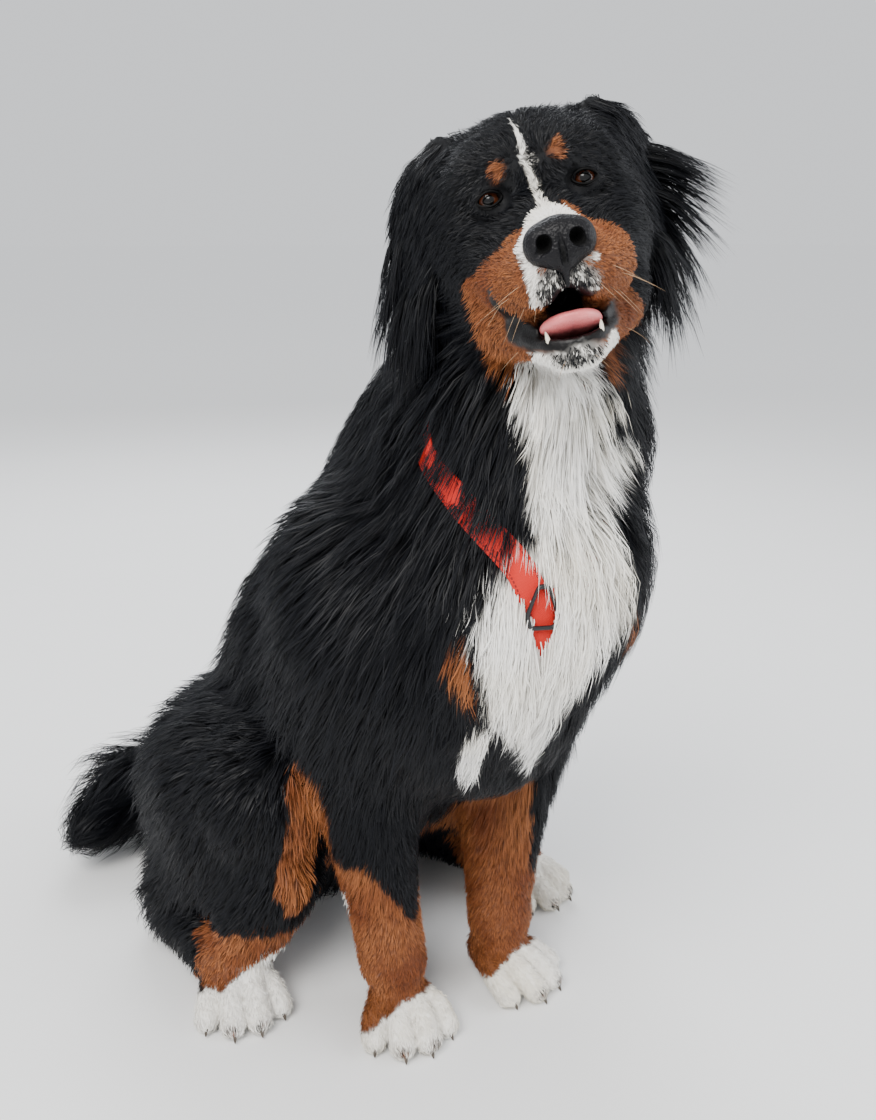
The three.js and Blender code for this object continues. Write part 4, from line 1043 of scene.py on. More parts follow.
@dataclass(frozen=True)
class HairTones:
    """The colours of the coat, as they look in soft daylight."""

    # Painted shade: each root colour is darker than its tip, for the shade deep in the coat.
    black_root: tuple = rgb(4, 5, 8)
    # Painted sheen: the black tip is lighter and bluer than its root.
    black_tip: tuple = rgb(15, 17, 23)
    rust_root: tuple = rgb(76, 42, 25)
    rust_tip: tuple = rgb(164, 102, 62)
    rust_shade: tuple = rgb(124, 68, 38)
    white_root: tuple = rgb(228, 224, 216)
    white_tip: tuple = rgb(253, 252, 249)
    cream: tuple = rgb(246, 240, 224)


def coat_group(tones: HairTones) -> bpy.types.NodeTree:
    """Builds the group that colours skin and coat alike from the stored masks.

    Args:
        tones: The colours.

    Returns:
        A group with inputs White, Rust, Tone and Along, and an output Color.
    """
    group = bpy.data.node_groups.new("coat_colour", "ShaderNodeTree")
    for name in ("White", "Rust", "Tone", "Along"):
        group.interface.new_socket(name=name, in_out="INPUT", socket_type="NodeSocketFloat")
    group.interface.new_socket(name="Color", in_out="OUTPUT", socket_type="NodeSocketColor")
    sheet = Sheet(group)
    given = sheet.node("NodeGroupInput").outputs
    place = sheet.place()
    # Painted shade: each colour runs from its darker root colour near the skin to its tip colour,
    # moved by the hair's tone.
    rise = sheet.maths("ADD", given["Along"], sheet.maths("MULTIPLY_ADD", given["Tone"], 0.7, -0.35))
    rise = sheet.node("ShaderNodeClamp", {0: rise}).outputs[0]
    black = sheet.mix(rise, tones.black_root, tones.black_tip)
    shaded = sheet.ramp(sheet.noise(place, 22.0), 0.4, 0.68)
    rust = sheet.mix(rise, tones.rust_root, sheet.mix(shaded, tones.rust_tip, tones.rust_shade))
    cream = sheet.ramp(sheet.noise(place, 9.0), 0.42, 0.66)
    tip = sheet.mix(cream, tones.white_tip, tones.cream)
    white = sheet.mix(rise, tones.white_root, tip)
    colour = sheet.mix(given["Rust"], black, rust)
    colour = sheet.mix(given["White"], colour, white)
    sheet.node("NodeGroupOutput", {0: colour})
    return group


class Finishes:
    """The dog's materials."""

    def __init__(self) -> None:
        """Builds the shared group."""
        self.coat_colour = coat_group(HairTones())

    def blank(self, name: str) -> tuple[Finish, Sheet, bpy.types.Node]:
        """Begins a material.

        Args:
            name: Its name.

        Returns:
            The material, its sheet and its shader.
        """
        made = bpy.data.materials.new(name)
        made.use_nodes = True
        return made, Sheet(made.node_tree), made.node_tree.nodes["Principled BSDF"]

    def hair(self) -> Finish:
        """Makes the finish of the coat's hairs.

        Returns:
            The finish, coloured by the stored masks, tone and place along a hair.
        """
        made, sheet, shader = self.blank("hair")
        white, rust, tone, along = sheet.stored()
        crisp = [sheet.ramp(mask, 0.2, 0.8, "SMOOTHSTEP") for mask in (white, rust)]
        # Along darkens the hair towards its root, as painted shade.
        inputs = {"White": crisp[0], "Rust": crisp[1], "Tone": tone, "Along": along}
        colour = sheet.node("ShaderNodeGroup", node_tree=self.coat_colour)
        sheet.fill(colour, inputs)
        inputs = {
            "Base Color": colour.outputs[0],
            "Roughness": sheet.maths("MULTIPLY_ADD", tone, 0.2, 0.42),
            "Specular IOR Level": 0.2,
        }
        sheet.fill(shader, inputs)
        return made

    def skin(self) -> Finish:
        """Makes the finish of the skin.

        Returns:
            The finish, with the coat's colours, and the lips and lids bare.
        """
        made, sheet, shader = self.blank("skin")
        white, rust, bare, _ = sheet.stored()
        fine = sheet.noise(sheet.place(), 700.0, 3.0)
        colour = sheet.node("ShaderNodeGroup", node_tree=self.coat_colour)
        # At 0.3 along, the skin takes the darker colours of the roots, with their painted shade.
        sheet.fill(colour, {"White": white, "Rust": rust, "Tone": fine, "Along": 0.3})
        lip = sheet.mix(fine, rgb(5, 4, 5), rgb(15, 12, 13))
        inputs = {
            "Base Color": sheet.mix(bare, colour.outputs[0], lip),
            "Roughness": sheet.maths("MULTIPLY_ADD", bare, -0.35, 0.75),
            "Specular IOR Level": 0.25,
            "Normal": sheet.bump(fine, 0.5, 0.0006),
        }
        sheet.fill(shader, inputs)
        return made

    def nose(self) -> Finish:
        """Makes the finish of the nose.

        Returns:
            Moist leather in small plates, with painted shade: black where the stored depth is great,
            inside the nostrils.
        """
        made, sheet, shader = self.blank("nose_leather")
        place = sheet.place()
        plates = sheet.cells(place, 620.0, "SMOOTH_F1")
        colour = sheet.mix(sheet.noise(place, 60.0), rgb(8, 8, 10), rgb(22, 21, 25))
        deep = sheet.stored()[3]
        rough = sheet.maths("MULTIPLY_ADD", plates, 0.25, 0.34)
        inputs = {
            # Painted shade: black deep inside the nostrils.
            "Base Color": sheet.mix(deep, colour, rgb(3, 3, 3)),
            "Roughness": sheet.maths("MAXIMUM", rough, deep),
            "Specular IOR Level": 0.2,
            "Normal": sheet.bump(plates, 0.7, 0.001, True),
        }
        sheet.fill(shader, inputs)
        return made

    def tongue(self) -> Finish:
        """Makes the finish of the tongue.

        Returns:
            Wet flesh with small buds.
        """
        made, sheet, shader = self.blank("tongue")
        place = sheet.place()
        buds = sheet.cells(place, 900.0)
        inputs = {
            "Base Color": sheet.mix(sheet.noise(place, 40.0), rgb(206, 96, 100), rgb(232, 134, 132)),
            "Roughness": sheet.maths("MULTIPLY_ADD", buds, 0.2, 0.25),
            "Normal": sheet.bump(buds, 0.4, 0.0006),
            "Subsurface Weight": 0.15,
            "Subsurface Radius": (0.004, 0.002, 0.002),
        }
        sheet.fill(shader, inputs)
        return made

    def eye(self) -> Finish:
        """Makes the finish of the eyes.

        Returns:
            Pupil, brown iris and a wet shine, by the stored radius and rays.
        """
        made, sheet, shader = self.blank("eye")
        radius, spokes, _, _ = sheet.stored()
        rays = sheet.node("ShaderNodeMapRange", {0: spokes, 3: 0.5, 4: 1.3}).outputs[0]
        iris = sheet.mix(rays, rgb(24, 12, 8), rgb(74, 40, 24))
        colour = sheet.mix(sheet.ramp(radius, 0.5, 0.58), rgb(2, 2, 3), iris)
        inputs = {
            "Base Color": sheet.mix(sheet.ramp(radius, 0.86, 1.0), colour, rgb(12, 8, 8)),
            "Roughness": 0.3,
            "Specular IOR Level": 0.1,
            "Coat Weight": 0.6,
            "Coat Roughness": 0.02,
        }
        sheet.fill(shader, inputs)
        return made

    def webbing(self) -> Finish:
        """Makes the finish of the straps.

        Returns:
            Bright woven webbing with two rows of stitches, by the piece's own UV map.
        """
        made, sheet, shader = self.blank("webbing")
        route = sheet.node("ShaderNodeUVMap", uv_map="webbing").outputs[0]
        along, across, _ = sheet.node("ShaderNodeSeparateXYZ", {0: route}).outputs
        weave = sheet.maths("MULTIPLY", sheet.waves(along, 700), sheet.waves(across, 560))
        weave = sheet.maths("MULTIPLY_ADD", weave, 0.5, 0.5)
        dirt = sheet.maths("MULTIPLY", sheet.noise(route, 60.0, 4.0), 0.35)
        colour = sheet.mix(weave, rgb(184, 17, 0), rgb(222, 36, 2))
        colour = sheet.mix(dirt, colour, rgb(160, 30, 16))
        row = sheet.maths("COMPARE", sheet.maths("ABSOLUTE", across), 0.0095, 0.0007)
        stitch = sheet.maths("GREATER_THAN", sheet.waves(along, 260), -0.3)
        inputs = {
            "Base Color": sheet.mix(sheet.maths("MULTIPLY", row, stitch), colour, rgb(120, 14, 6)),
            "Roughness": 0.72,
            "Normal": sheet.bump(weave, 0.6, 0.0005),
        }
        sheet.fill(shader, inputs)
        return made

    def plain(self, look: PlainFinish) -> Finish:
        """Makes a fine-grained plain finish.

        Args:
            look: Its name, colours and shine.

        Returns:
            The finish.
        """
        made, sheet, shader = self.blank(look.name)
        grain = sheet.noise(sheet.place(), 420.0, 3.0)
        inputs = {
            "Base Color": sheet.mix(grain, look.dark, look.light),
            "Roughness": sheet.maths("MULTIPLY_ADD", grain, 0.2, look.rough),
            "Specular IOR Level": look.gloss,
            "Normal": sheet.bump(grain, 0.2, 0.0003),
        }
        sheet.fill(shader, inputs)
        return made


# ------------ coat


@dataclass(frozen=True)
class Pelt:
    """How one stretch of the coat grows. Lengths are in millimetres."""

    spacing: float  # between tufts
    hairs: int  # in a tuft
    width: float  # of a hair
    shortest: float  # least length of a hair
    stretch: float  # its length over the coat's depth
    steps: int = 4  # stretches of a hair
    clump: float = 0.5  # how far a tuft's hairs close up at its tip
    wave: float = 0.12  # how far they sway
    low: float = 0.35  # least share of the coat's depth that a tip reaches
    high: float = 1.0
    followed: bool = True  # whether the markings run along the coat, or a hair keeps its root's
    spread: float = 0.8  # of a tuft's roots over the spacing


class Region(Enum):
    """The stretches of the coat, each one piece of the model."""

    FACE = "coat_face"
    EARS = "coat_ears"
    NECK_RIGHT = "coat_neck_right"
    NECK_LEFT = "coat_neck_left"
    CHEST = "coat_chest"
    TORSO_RIGHT = "coat_torso_right"
    TORSO_LEFT = "coat_torso_left"
    FORELEGS = "coat_forelegs"
    THIGH_RIGHT = "coat_thigh_right"
    THIGH_LEFT = "coat_thigh_left"
    TAIL = "coat_tail"
    PAWS = "coat_paws"


NECK = Pelt(7.2, 12, 1.0, 18.0, 1.8, 3, 0.4)
TORSO = Pelt(8.6, 9, 1.3, 18.0, 2.1, 3, 0.42)
THIGH = Pelt(7.0, 6, 1.25, 8.0, 2.2, 3, 0.4)
PELTS = {
    Region.FACE: Pelt(2.8, 4, 0.6, 4.6, 2.3, 2, 0.2, 0.05, 0.5, 1.1),
    Region.EARS: Pelt(4.0, 11, 0.62, 18.0, 3.0, 3, 0.22, 0.1, 0.3, 0.85, False),
    Region.NECK_RIGHT: NECK,
    Region.NECK_LEFT: NECK,
    Region.CHEST: Pelt(6.8, 20, 0.85, 20.0, 1.8, 3, 0.4, 0.16, 0.3, 1.0),
    Region.TORSO_RIGHT: TORSO,
    Region.TORSO_LEFT: TORSO,
    Region.FORELEGS: Pelt(4.2, 6, 0.75, 7.0, 2.2, 2, 0.3, 0.08, 0.4, 1.0),
    Region.THIGH_RIGHT: THIGH,
    Region.THIGH_LEFT: THIGH,
    Region.TAIL: Pelt(6.8, 12, 1.1, 26.0, 2.1, 4, 0.4, 0.2, 0.55, 1.08),
    Region.PAWS: Pelt(3.2, 4, 0.75, 7.0, 2.6, 2, 0.3, 0.1, 0.6, 1.9),
}


@dataclass
class Coat:
    """The coat: tufts of flat hairs that rise from the skin along its lie to the form's tips.

    shown and hidden are places along the straps: where they show, and where
    the coat covers them.
    """

    form: Form
    markings: Markings
    skin: Piece  # its faces are triangles
    shown: Array
    hidden: Array
    seed: int = 47
    root_area: float = 2.2  # of skin, for each place at which a tuft may stand
    least_kept: float = 0.2  # share of a hair; one that a strap cuts shorter is left out
    patch: float = 0.003  # size of a tuft on the map
    map_margin: float = 0.004

    def __post_init__(self) -> None:
        """Measures the skin's triangles."""
        self.dice = np.random.default_rng(self.seed)
        places = form_places(self.skin)
        corners = np.empty(len(self.skin.data.polygons) * 3, np.int32)
        self.skin.data.loops.foreach_get("vertex_index", corners)
        self.corners = places[:, corners.reshape(-1, 3)]
        a, b, c = (self.corners[:, :, i] for i in range(3))
        self.areas = 0.5 * np.sqrt((np.cross((b - a).T, (c - a).T) ** 2).sum(1))

    def sow(self) -> tuple[Array, Array]:
        """Scatters places for tufts all over the skin.

        Returns:
            Many root places, and each one's region number.
        """
        dice = self.dice
        amount = int(self.areas.sum() / self.root_area)
        pick = dice.choice(len(self.areas), amount, p=self.areas / self.areas.sum())
        u, v = dice.random(amount), dice.random(amount)
        over = u + v > 1
        u[over], v[over] = 1 - u[over], 1 - v[over]
        a, b, c = (self.corners[:, pick, i] for i in range(3))
        roots = (a + (b - a) * u + (c - a) * v).astype(np.float32)
        return roots, self.regions(roots)

    def regions(self, p: Array) -> Array:
        """Tells the regions of places.

        Args:
            p: Places on the skin.

        Returns:
            The number of each one's region in the order of Region.
        """
        form = self.form
        q = moved(p, form.to_head)
        names = ["head", "ear", *form.parts]
        values = [form.head(q, 1.0), form.both_ears(q, 0.0) - 4]
        values += [part(p, 0.6) for part in form.parts.values()]
        nearest = np.argmin(np.stack(values), 0)
        order = list(Region)
        table = {
            "head": [Region.FACE],
            "ear": [Region.EARS],
            "neck": [Region.NECK_RIGHT, Region.NECK_LEFT],
            "torso": [Region.TORSO_RIGHT, Region.TORSO_LEFT],
            "chest": [Region.CHEST],
            "foreleg": [Region.FORELEGS],
            "thigh": [Region.THIGH_RIGHT, Region.THIGH_LEFT],
            "front_paw": [Region.PAWS],
            "hind_paw": [Region.PAWS],
            "tail": [Region.TAIL],
        }
        sides = np.array([[order.index(table[name][i]) for i in (0, -1)] for name in names])
        return sides[nearest, (p[0] > 0).astype(int)]

    def lie(self, p: Array, out: Array) -> Array:
        """Gives the direction in which the coat lies.

        Args:
            p: Places.
            out: The directions out of the form there.

        Returns:
            Unit directions along the surface.
        """
        form = self.form
        side = np.sign(p[0])
        q = moved(p, form.to_head)
        low = smooth(-50, -110, q[2])
        flat = np.zeros_like(p[0])
        head_side = np.sign(q[0])
        face = np.stack((0.25 * head_side, 0.9 - 0.3 * low, -0.25 - 0.6 * low))
        face = turned(face, form.head_frame)
        ear = turned(np.stack((0.3 * head_side, flat + 0.15, flat - 0.95)), form.head_frame)
        line = np.array(form.tail_line, np.float32)[:, :3]
        gaps = np.stack([((p - place[:, None]) ** 2).sum(0) for place in line])
        at = np.clip(np.argmin(gaps, 0), 0, len(line) - 2)
        tail = unit((line[at + 1] - line[at]).T) + 0.25 * out
        paw = np.stack((0.25 * side, flat - 0.8, flat - 0.5))
        ways = {
            "head": face,
            "ear": ear,
            "neck": np.stack((0.1 * side, flat + 0.25, flat - 1)),
            "torso": np.stack((0.1 * side, flat + 0.5, flat - 0.87)),
            "chest": np.stack((0.06 * side, flat, flat - 1)),
            "foreleg": np.stack((flat, flat + 0.3, flat - 1)),
            "thigh": np.stack((0.05 * side, flat + 0.5, flat - 0.85)),
            "front_paw": paw,
            "hind_paw": paw,
            "tail": tail,
        }
        fields = [form.head(q, 0.6), form.both_ears(q, 0.5) - 4]
        fields += [part(p, 0.6) for part in form.parts.values()]
        values = np.stack(fields)
        weights = np.exp(-(values - values.min(0)) / 12.0)
        total = sum(weight * way for weight, way in zip(weights, ways.values()))
        total = total - out * (total * out).sum(0)
        return unit(total)

    def thin(self, roots: Array, spacing: float) -> Array:
        """Picks one root in each cube of space.

        Args:
            roots: Places on the skin.
            spacing: The size of a cube.

        Returns:
            The numbers of the roots that stay.
        """
        keys = np.floor(roots / spacing).astype(np.int64)
        key = (keys[0] * 4096 + keys[1]) * 4096 + keys[2]
        return np.unique(key, return_index=True)[1]

    def guides(self, roots: Array, pelt: Pelt) -> tuple[Array, Array, Array]:
        """Leads one line for each tuft from its root to its tip.

        Args:
            roots: Places on the skin.
            pelt: How the coat grows here.

        Returns:
            Lines of steps + 1 places, and the directions along and out of the coat at each.
        """
        form, dice = self.form, self.dice
        count = roots.shape[1]
        out, value = form.slope(roots, 0.0)
        p = roots - out * value - out * 1.2
        depth = np.maximum(form.whole(p, 0.0) - form.whole(p, 1.0), 0.5)
        length = np.maximum(pelt.shortest, depth * pelt.stretch) * dice.uniform(0.75, 1.15, count)
        reach = dice.uniform(pelt.low, pelt.high, count)
        over = 1 - smooth(45, 75, distance_to(p, self.hidden))
        reach = reach + (dice.uniform(0.85, 1.0, count) - reach) * over
        rise = 1.5 + 1.5 * over
        bend = dice.normal(0, pelt.wave, count)
        line, ways, outs = [p], [], []
        for step in range(pelt.steps):
            way = self.lie(p, out)
            across = np.cross(way.T, out.T).T
            way = unit(way + across * bend * (0.4 + step / pelt.steps))
            ways.append(way)
            outs.append(out)
            p = p + way * (length / pelt.steps)
            done = (step + 1) / pelt.steps
            share = reach * (1 - (1 - done) ** rise)
            out, value = form.slope(p, share)
            p = p - out * value
            p[2] = np.maximum(p[2], 1.0)
            line.append(p)
        ways.append(unit(line[-1] - line[-2]))
        outs.append(out)
        return np.stack(line), np.stack(ways), np.stack(outs)

    def fringe(self, roots: Array, pelt: Pelt) -> tuple[Array, Array, Array]:
        """Leads the long lines that hang free from the ears.

        Args:
            roots: Places on the ears.
            pelt: How the coat grows here.

        Returns:
            What guides returns.
        """
        form, dice = self.form, self.dice
        count = roots.shape[1]
        out, _ = form.slope(roots, 0.0)
        q = moved(roots, form.to_head)
        left = q[0] > 0
        blown = smooth(-60, 10, q[2])
        x = np.where(left, 0.8 * blown, -0.24) + dice.normal(0, 0.1, count)
        y = 0.1 + dice.normal(0, 0.1, count)
        z = np.where(left, -1.0 + 0.4 * blown, -0.95)
        fall = turned(unit(np.stack((x, y, z))).astype(np.float32), form.head_frame)
        length = dice.uniform(40, 84, count).astype(np.float32)
        p = roots - out * 1.5
        line, ways, outs = [p], [], []
        for step in range(pelt.steps):
            part = (step + 0.5) / pelt.steps
            way = out * 0.45 * (1 - part) + fall * (0.55 + part)
            way = unit(way + np.array([[0], [0], [-0.25]]) * part)
            ways.append(way)
            side = unit(np.cross(way.T, out.T).T)
            outs.append(unit(np.cross(side.T, way.T).T))
            p = p + way * (length / pelt.steps)
            way_out, value = form.slope(p, 0.0)
            p = p + way_out * np.maximum(0, 5 + 4 * part - value)
            line.append(p)
        ways.append(ways[-1])
        outs.append(outs[-1])
        return np.stack(line), np.stack(ways), np.stack(outs)

    def clear(self, line: Array) -> Array:
        """Ends the hairs at the straps that show.

        Args:
            line: Each hair's places, by station, axis and hair.

        Returns:
            The share of each hair that is kept.
        """
        steps = 9
        count = line.shape[2]
        keep = np.ones(count, np.float32)
        near = distance_to(line[0], self.shown[:, ::6]) < 120
        if not near.any():
            return keep
        some = line[:, :, near]
        kept = np.ones(some.shape[2], np.float32)
        jitter = self.dice.normal(0, 1.5, some.shape[2])
        heart = self.shown[:, 3:7]
        for i in range(steps, -1, -1):
            at = i / steps * (line.shape[0] - 1)
            a = min(int(at), line.shape[0] - 2)
            p = some[a] + (some[a + 1] - some[a]) * (at - a)
            margin = 4.0 + 6.5 * (1 - smooth(16, 32, distance_to(p, heart))) + jitter
            kept = np.where(distance_to(p, self.shown) < margin, i / steps * 0.96, kept)
        keep[near] = kept
        return keep

    def grow(self, name: str, roots: Array, pelt: Pelt) -> Piece:
        """Grows one piece of the coat.

        Args:
            name: The piece's name.
            roots: Places on the skin.
            pelt: How the coat grows here.

        Returns:
            The piece, with its colours' masks stored and its map laid out.
        """
        line, ways, outs = self.guides(roots, pelt)
        if name == Region.EARS.value:
            q = moved(roots, self.form.to_head)
            long = (self.dice.random(roots.shape[1]) < 0.6) & ((q[1] > 78) | (q[2] < -34))
            long &= q[2] < np.where(q[0] > 0, 26, 2)
            free = self.fringe(roots[:, long], pelt)
            for whole, part in zip((line, ways, outs), free):
                whole[:, :, long] = part
        side = np.cross(ways, outs, axis=1)
        path, keep = self.hairs(line, ways, side, outs, pelt)
        stay = keep.ravel() > self.least_kept
        places = self.ribbons(path, side, outs, pelt)[:, :, stay]
        kept = np.nonzero(stay)[0]
        per, total = places.shape[0], len(kept)
        steps = len(line) - 1
        station_of = np.array([s for s in range(steps) for _ in (0, 1)] + [steps])
        marks = self.marks(path, line, stay, pelt)[station_of]
        pattern = []
        for a in range(0, 2 * (steps - 1), 2):
            pattern += [(a, a + 1, a + 3), (a, a + 3, a + 2)]
        pattern.append((per - 3, per - 2, per - 1))
        pattern = np.array(pattern, np.int32)
        first = np.arange(total, dtype=np.int32)[:, None, None] * per
        vertices = places.transpose(1, 2, 0).reshape(3, -1)
        piece = mesh_object(name, vertices, (first + pattern[None]).reshape(-1, 3))
        # How far along its hair each vertex is: the finish darkens the roots by it, as painted shade.
        along = station_of / steps
        tone = np.clip(self.dice.normal(0.5, 0.22, total), 0, 1)
        told = [marks[:, i].T.ravel() for i in (0, 1)]
        store(piece, "coat", np.stack((*told, np.repeat(tone, per), np.tile(along, total))))
        self.lay_map(piece, line[0], kept % line.shape[2], per, along)
        return piece

    def hairs(
        self, line: Array, ways: Array, side: Array, outs: Array, pelt: Pelt
    ) -> tuple[Array, Array]:
        """Spreads the hairs of each tuft round its line.

        Args:
            line: The tufts' lines, by station, axis and tuft.
            ways: The directions along the coat at each place.
            side: The directions across it.
            outs: The directions out of it.
            pelt: How the coat grows here.

        Returns:
            The hairs' places, by station, axis, hair and tuft, and the share of each hair
            that is kept.
        """
        dice = self.dice
        stations, _, tufts = line.shape
        shape = (pelt.hairs, tufts)
        t = stations_along(line)[:, None, None]
        radius = pelt.spacing * pelt.spread * np.sqrt(dice.random(shape))
        angle = dice.uniform(0, 2 * math.pi, shape)
        close = 1 - pelt.clump * t
        wave = dice.normal(0, 0.05, shape) * line_length(line) * (t**2)
        along_shift = (radius * np.sin(angle))[None] * close
        side_shift = (radius * np.cos(angle))[None] * close + wave
        lift = dice.normal(0, 0.6, shape) * t
        size = dice.uniform(0.72, 1.08, shape)
        root = line[0][None, :, None, :]
        path = line[:, :, None, :] * np.ones((1, 1, pelt.hairs, 1), np.float32)
        path = root + (path - root) * size[None, None]
        path = path + side[:, :, None, :] * side_shift[:, None]
        path = path + ways[:, :, None, :] * along_shift[:, None]
        path = path + outs[:, :, None, :] * lift[:, None]
        path[:, 2] = np.maximum(path[:, 2], 0.6)
        keep = self.clear(path.reshape(stations, 3, -1)).reshape(shape)
        return path[:1] + (path - path[:1]) * keep, keep

    def ribbons(self, path: Array, side: Array, outs: Array, pelt: Pelt) -> Array:
        """Gives the hairs their width.

        Args:
            path: Their places, as hairs gives them.
            side: The directions across the coat, by station, axis and tuft.
            outs: The directions out of it.
            pelt: How the coat grows here.

        Returns:
            The corners of each hair, two for each station and one for its tip, by corner,
            axis and hair.
        """
        dice = self.dice
        shape = path.shape[2:]
        twist = dice.normal(0, 0.45, shape)
        flat = side[:, :, None, :] * np.cos(twist) + outs[:, :, None, :] * np.sin(twist)
        profile = np.interp(stations_along(path), (0, 0.3, 0.7, 1), (0.75, 1.0, 0.7, 0.0))
        profile = profile[:, None, None, None] * pelt.width * 0.5
        half = flat * profile * dice.uniform(0.7, 1.3, (1, 1, *shape))
        edges = (path[:-1] - half[:-1], path[:-1] + half[:-1], path[-1:])
        left, right, tip = (v.reshape(len(v), 3, -1) for v in edges)
        places = np.concatenate((np.stack((left, right), 1).reshape(-1, *left.shape[1:]), tip))
        places[:, 2] = np.maximum(places[:, 2], 0.4)
        return places

    def marks(self, path: Array, line: Array, stay: Array, pelt: Pelt) -> Array:
        """Tells each hair's colours.

        Args:
            path: The hairs' places, as hairs gives them.
            line: The tufts' lines.
            stay: Which of the hairs are kept.
            pelt: How the coat grows here.

        Returns:
            White and rust, by station, kind and hair.
        """
        limit = self.dice.uniform(0.3, 0.7, np.count_nonzero(stay)).astype(np.float32)
        rows = []
        for station in range(1, len(line)):
            seen = path[station if pelt.followed else 0]
            if pelt.followed:
                out, value = self.form.slope(line[station].astype(np.float32), SEEN_SHARE)
                seen = seen - (out * value)[:, None, :]
            masks = self.markings.masks(seen.reshape(3, -1)[:, stay].astype(np.float32))[:2]
            rows.append([np.clip(0.5 + 3 * (mask - limit), 0, 1) for mask in masks])
        return np.array([rows[0], *rows])

    def lay_map(self, piece: Piece, roots: Array, tuft: Array, per: int, along: Array) -> None:
        """Lays out OFBake: tufts are small patches on an unwrap round the region's axis.

        Args:
            piece: The piece of the coat.
            roots: Each tuft's root.
            tuft: Which tuft each hair belongs to.
            per: How many vertices a hair has.
            along: How far along its hair each of these vertices is.
        """
        spread = roots - roots.mean(1, keepdims=True)
        _, turn = np.linalg.eigh((spread @ spread.T).astype(np.float64))
        u, v, axis = turn[:, 0], turn[:, 1], turn[:, 2]
        angle = np.arctan2(v @ spread, u @ spread) / (2 * math.pi) + 0.5
        height = axis @ spread
        height = (height - height.min()) / max(1.0, float(np.ptp(height)))
        across = np.where(np.arange(per) % 2 == 0, 0.0, 1.0) * self.patch
        base_u, base_v = (self.map_margin + 0.99 * share[tuft] for share in (angle, height))
        point_u = (base_u[:, None] + across[None] * 0.6).ravel()
        point_v = (base_v[:, None] + along[None] * self.patch).ravel()
        mesh = piece.data
        corners = np.empty(len(mesh.loops), np.int32)
        mesh.loops.foreach_get("vertex_index", corners)
        points = np.stack((point_u[corners], point_v[corners]), 1)
        layer = mesh.uv_layers.new(name="OFBake")
        layer.data.foreach_set("uv", points.astype(np.float32).ravel())

    def paint(self) -> None:
        """Stores the markings on the skin, as the coat over each place shows them."""
        p = form_places(self.skin)
        out, _ = self.form.slope(p, 0.0)
        depth = np.maximum(self.form.whole(p, 0.0) - self.form.whole(p, 1.0), 0.0)
        seen = p + out * depth * 0.7 + self.lie(p, out) * depth * 0.8
        out, value = self.form.slope(seen, SEEN_SHARE)
        seen = seen - out * value
        white, rust, _ = self.markings.masks(seen)
        bare = self.markings.masks(p)[2]
        store(self.skin, "coat", np.stack((white, rust, bare, np.ones_like(bare))))

    def build(self) -> list[Piece]:
        """Grows the coat.

        Returns:
            Its pieces.
        """
        roots, numbers = self.sow()
        _, _, bare = self.markings.masks(roots)
        pieces = []
        for number, region in enumerate(Region):
            pelt = PELTS[region]
            here = roots[:, (numbers == number) & (bare < 0.4)]
            here = here[:, self.thin(here, pelt.spacing)]
            piece = self.grow(region.value, here, pelt)
            log.info("%s: %d tufts, %d faces", region.value, here.shape[1], len(piece.data.polygons))
            pieces.append(piece)
        log.info("coat: %d faces", sum(len(piece.data.polygons) for piece in pieces))
        return pieces


def distance_to(p: Array, places: Array) -> Array:
    """Measures how far places lie from others.

    Args:
        p: The places.
        places: The others.

    Returns:
        The distance from each of p to the nearest of them.
    """
    best = np.full(p.shape[1], 1e9, np.float32)
    for i in range(places.shape[1]):
        best = np.minimum(best, ((p - places[:, i : i + 1]) ** 2).sum(0))
    return np.sqrt(best)


def line_length(line: Array) -> Array:
    """Returns the straight length of each guide line, from its root to its tip."""
    return np.sqrt(((line[-1] - line[0]) ** 2).sum(0))


def stations_along(line: Array) -> Array:
    """Returns how far along a line each of its stations is, from 0 to 1."""
    return (np.arange(len(line)) / (len(line) - 1)).astype(np.float32)


def tube_faces(count: int, sides: int, closed: bool) -> Array:
    """Joins rings of vertices to a tube.

    Args:
        count: How many rings there are.
        sides: How many vertices each has.
        closed: Whether the last ring joins the first.

    Returns:
        Faces of four corners, ring by ring.
    """
    ring = np.arange(count if closed else count - 1)[:, None] * sides
    ahead = (ring + sides) % (count * sides)
    corner = np.arange(sides)[None]
    after = (corner + 1) % sides
    faces = (ring + corner, ring + after, ahead + after, ahead + corner)
    return np.stack(faces, 2).reshape(-1, 4)


def rods(runs: list[tuple], sides: int, closed: bool) -> tuple[Array, Array]:
    """Makes round rods along lines.

    Args:
        runs: For each rod its places and the radius at each.
        sides: Sides of a rod.
        closed: Whether each rod is a ring.

    Returns:
        Places, and faces of four corners.
    """
    places, faces = [], []
    turn = np.arange(sides) * 2 * math.pi / sides
    for line, radii in runs:
        line = np.array(line, float)
        count = len(line)
        if closed:
            ahead = np.roll(line, -1, 0) - np.roll(line, 1, 0)
            up = line - line.mean(0)
        else:
            ahead = np.gradient(line, axis=0)
            up = np.tile((0.3, 0.2, 0.93), (count, 1))
        ahead = unit(ahead.T).T
        first = unit(np.cross(ahead, up).T).T
        second = np.cross(first, ahead)
        start = len(places) * sides
        for i in range(count):
            around = np.outer(np.cos(turn), first[i]) + np.outer(np.sin(turn), second[i])
            places.append(line[i] + radii[i] * around)
        faces.append(start + tube_faces(count, sides, closed))
        if not closed:
            for a, flip in ((start, True), (start + (count - 1) * sides, False)):
                quads = [(a, a + 1, a + sides - 2, a + sides - 1)]
                quads += [
                    (a + s - 1, a + s, a + sides - s - 1, a + sides - s)
                    for s in range(2, sides // 2)
                ]
                faces.append([quad[::-1] if flip else quad for quad in quads])
    return np.concatenate(places).T, np.concatenate(faces)


# ------------ pieces


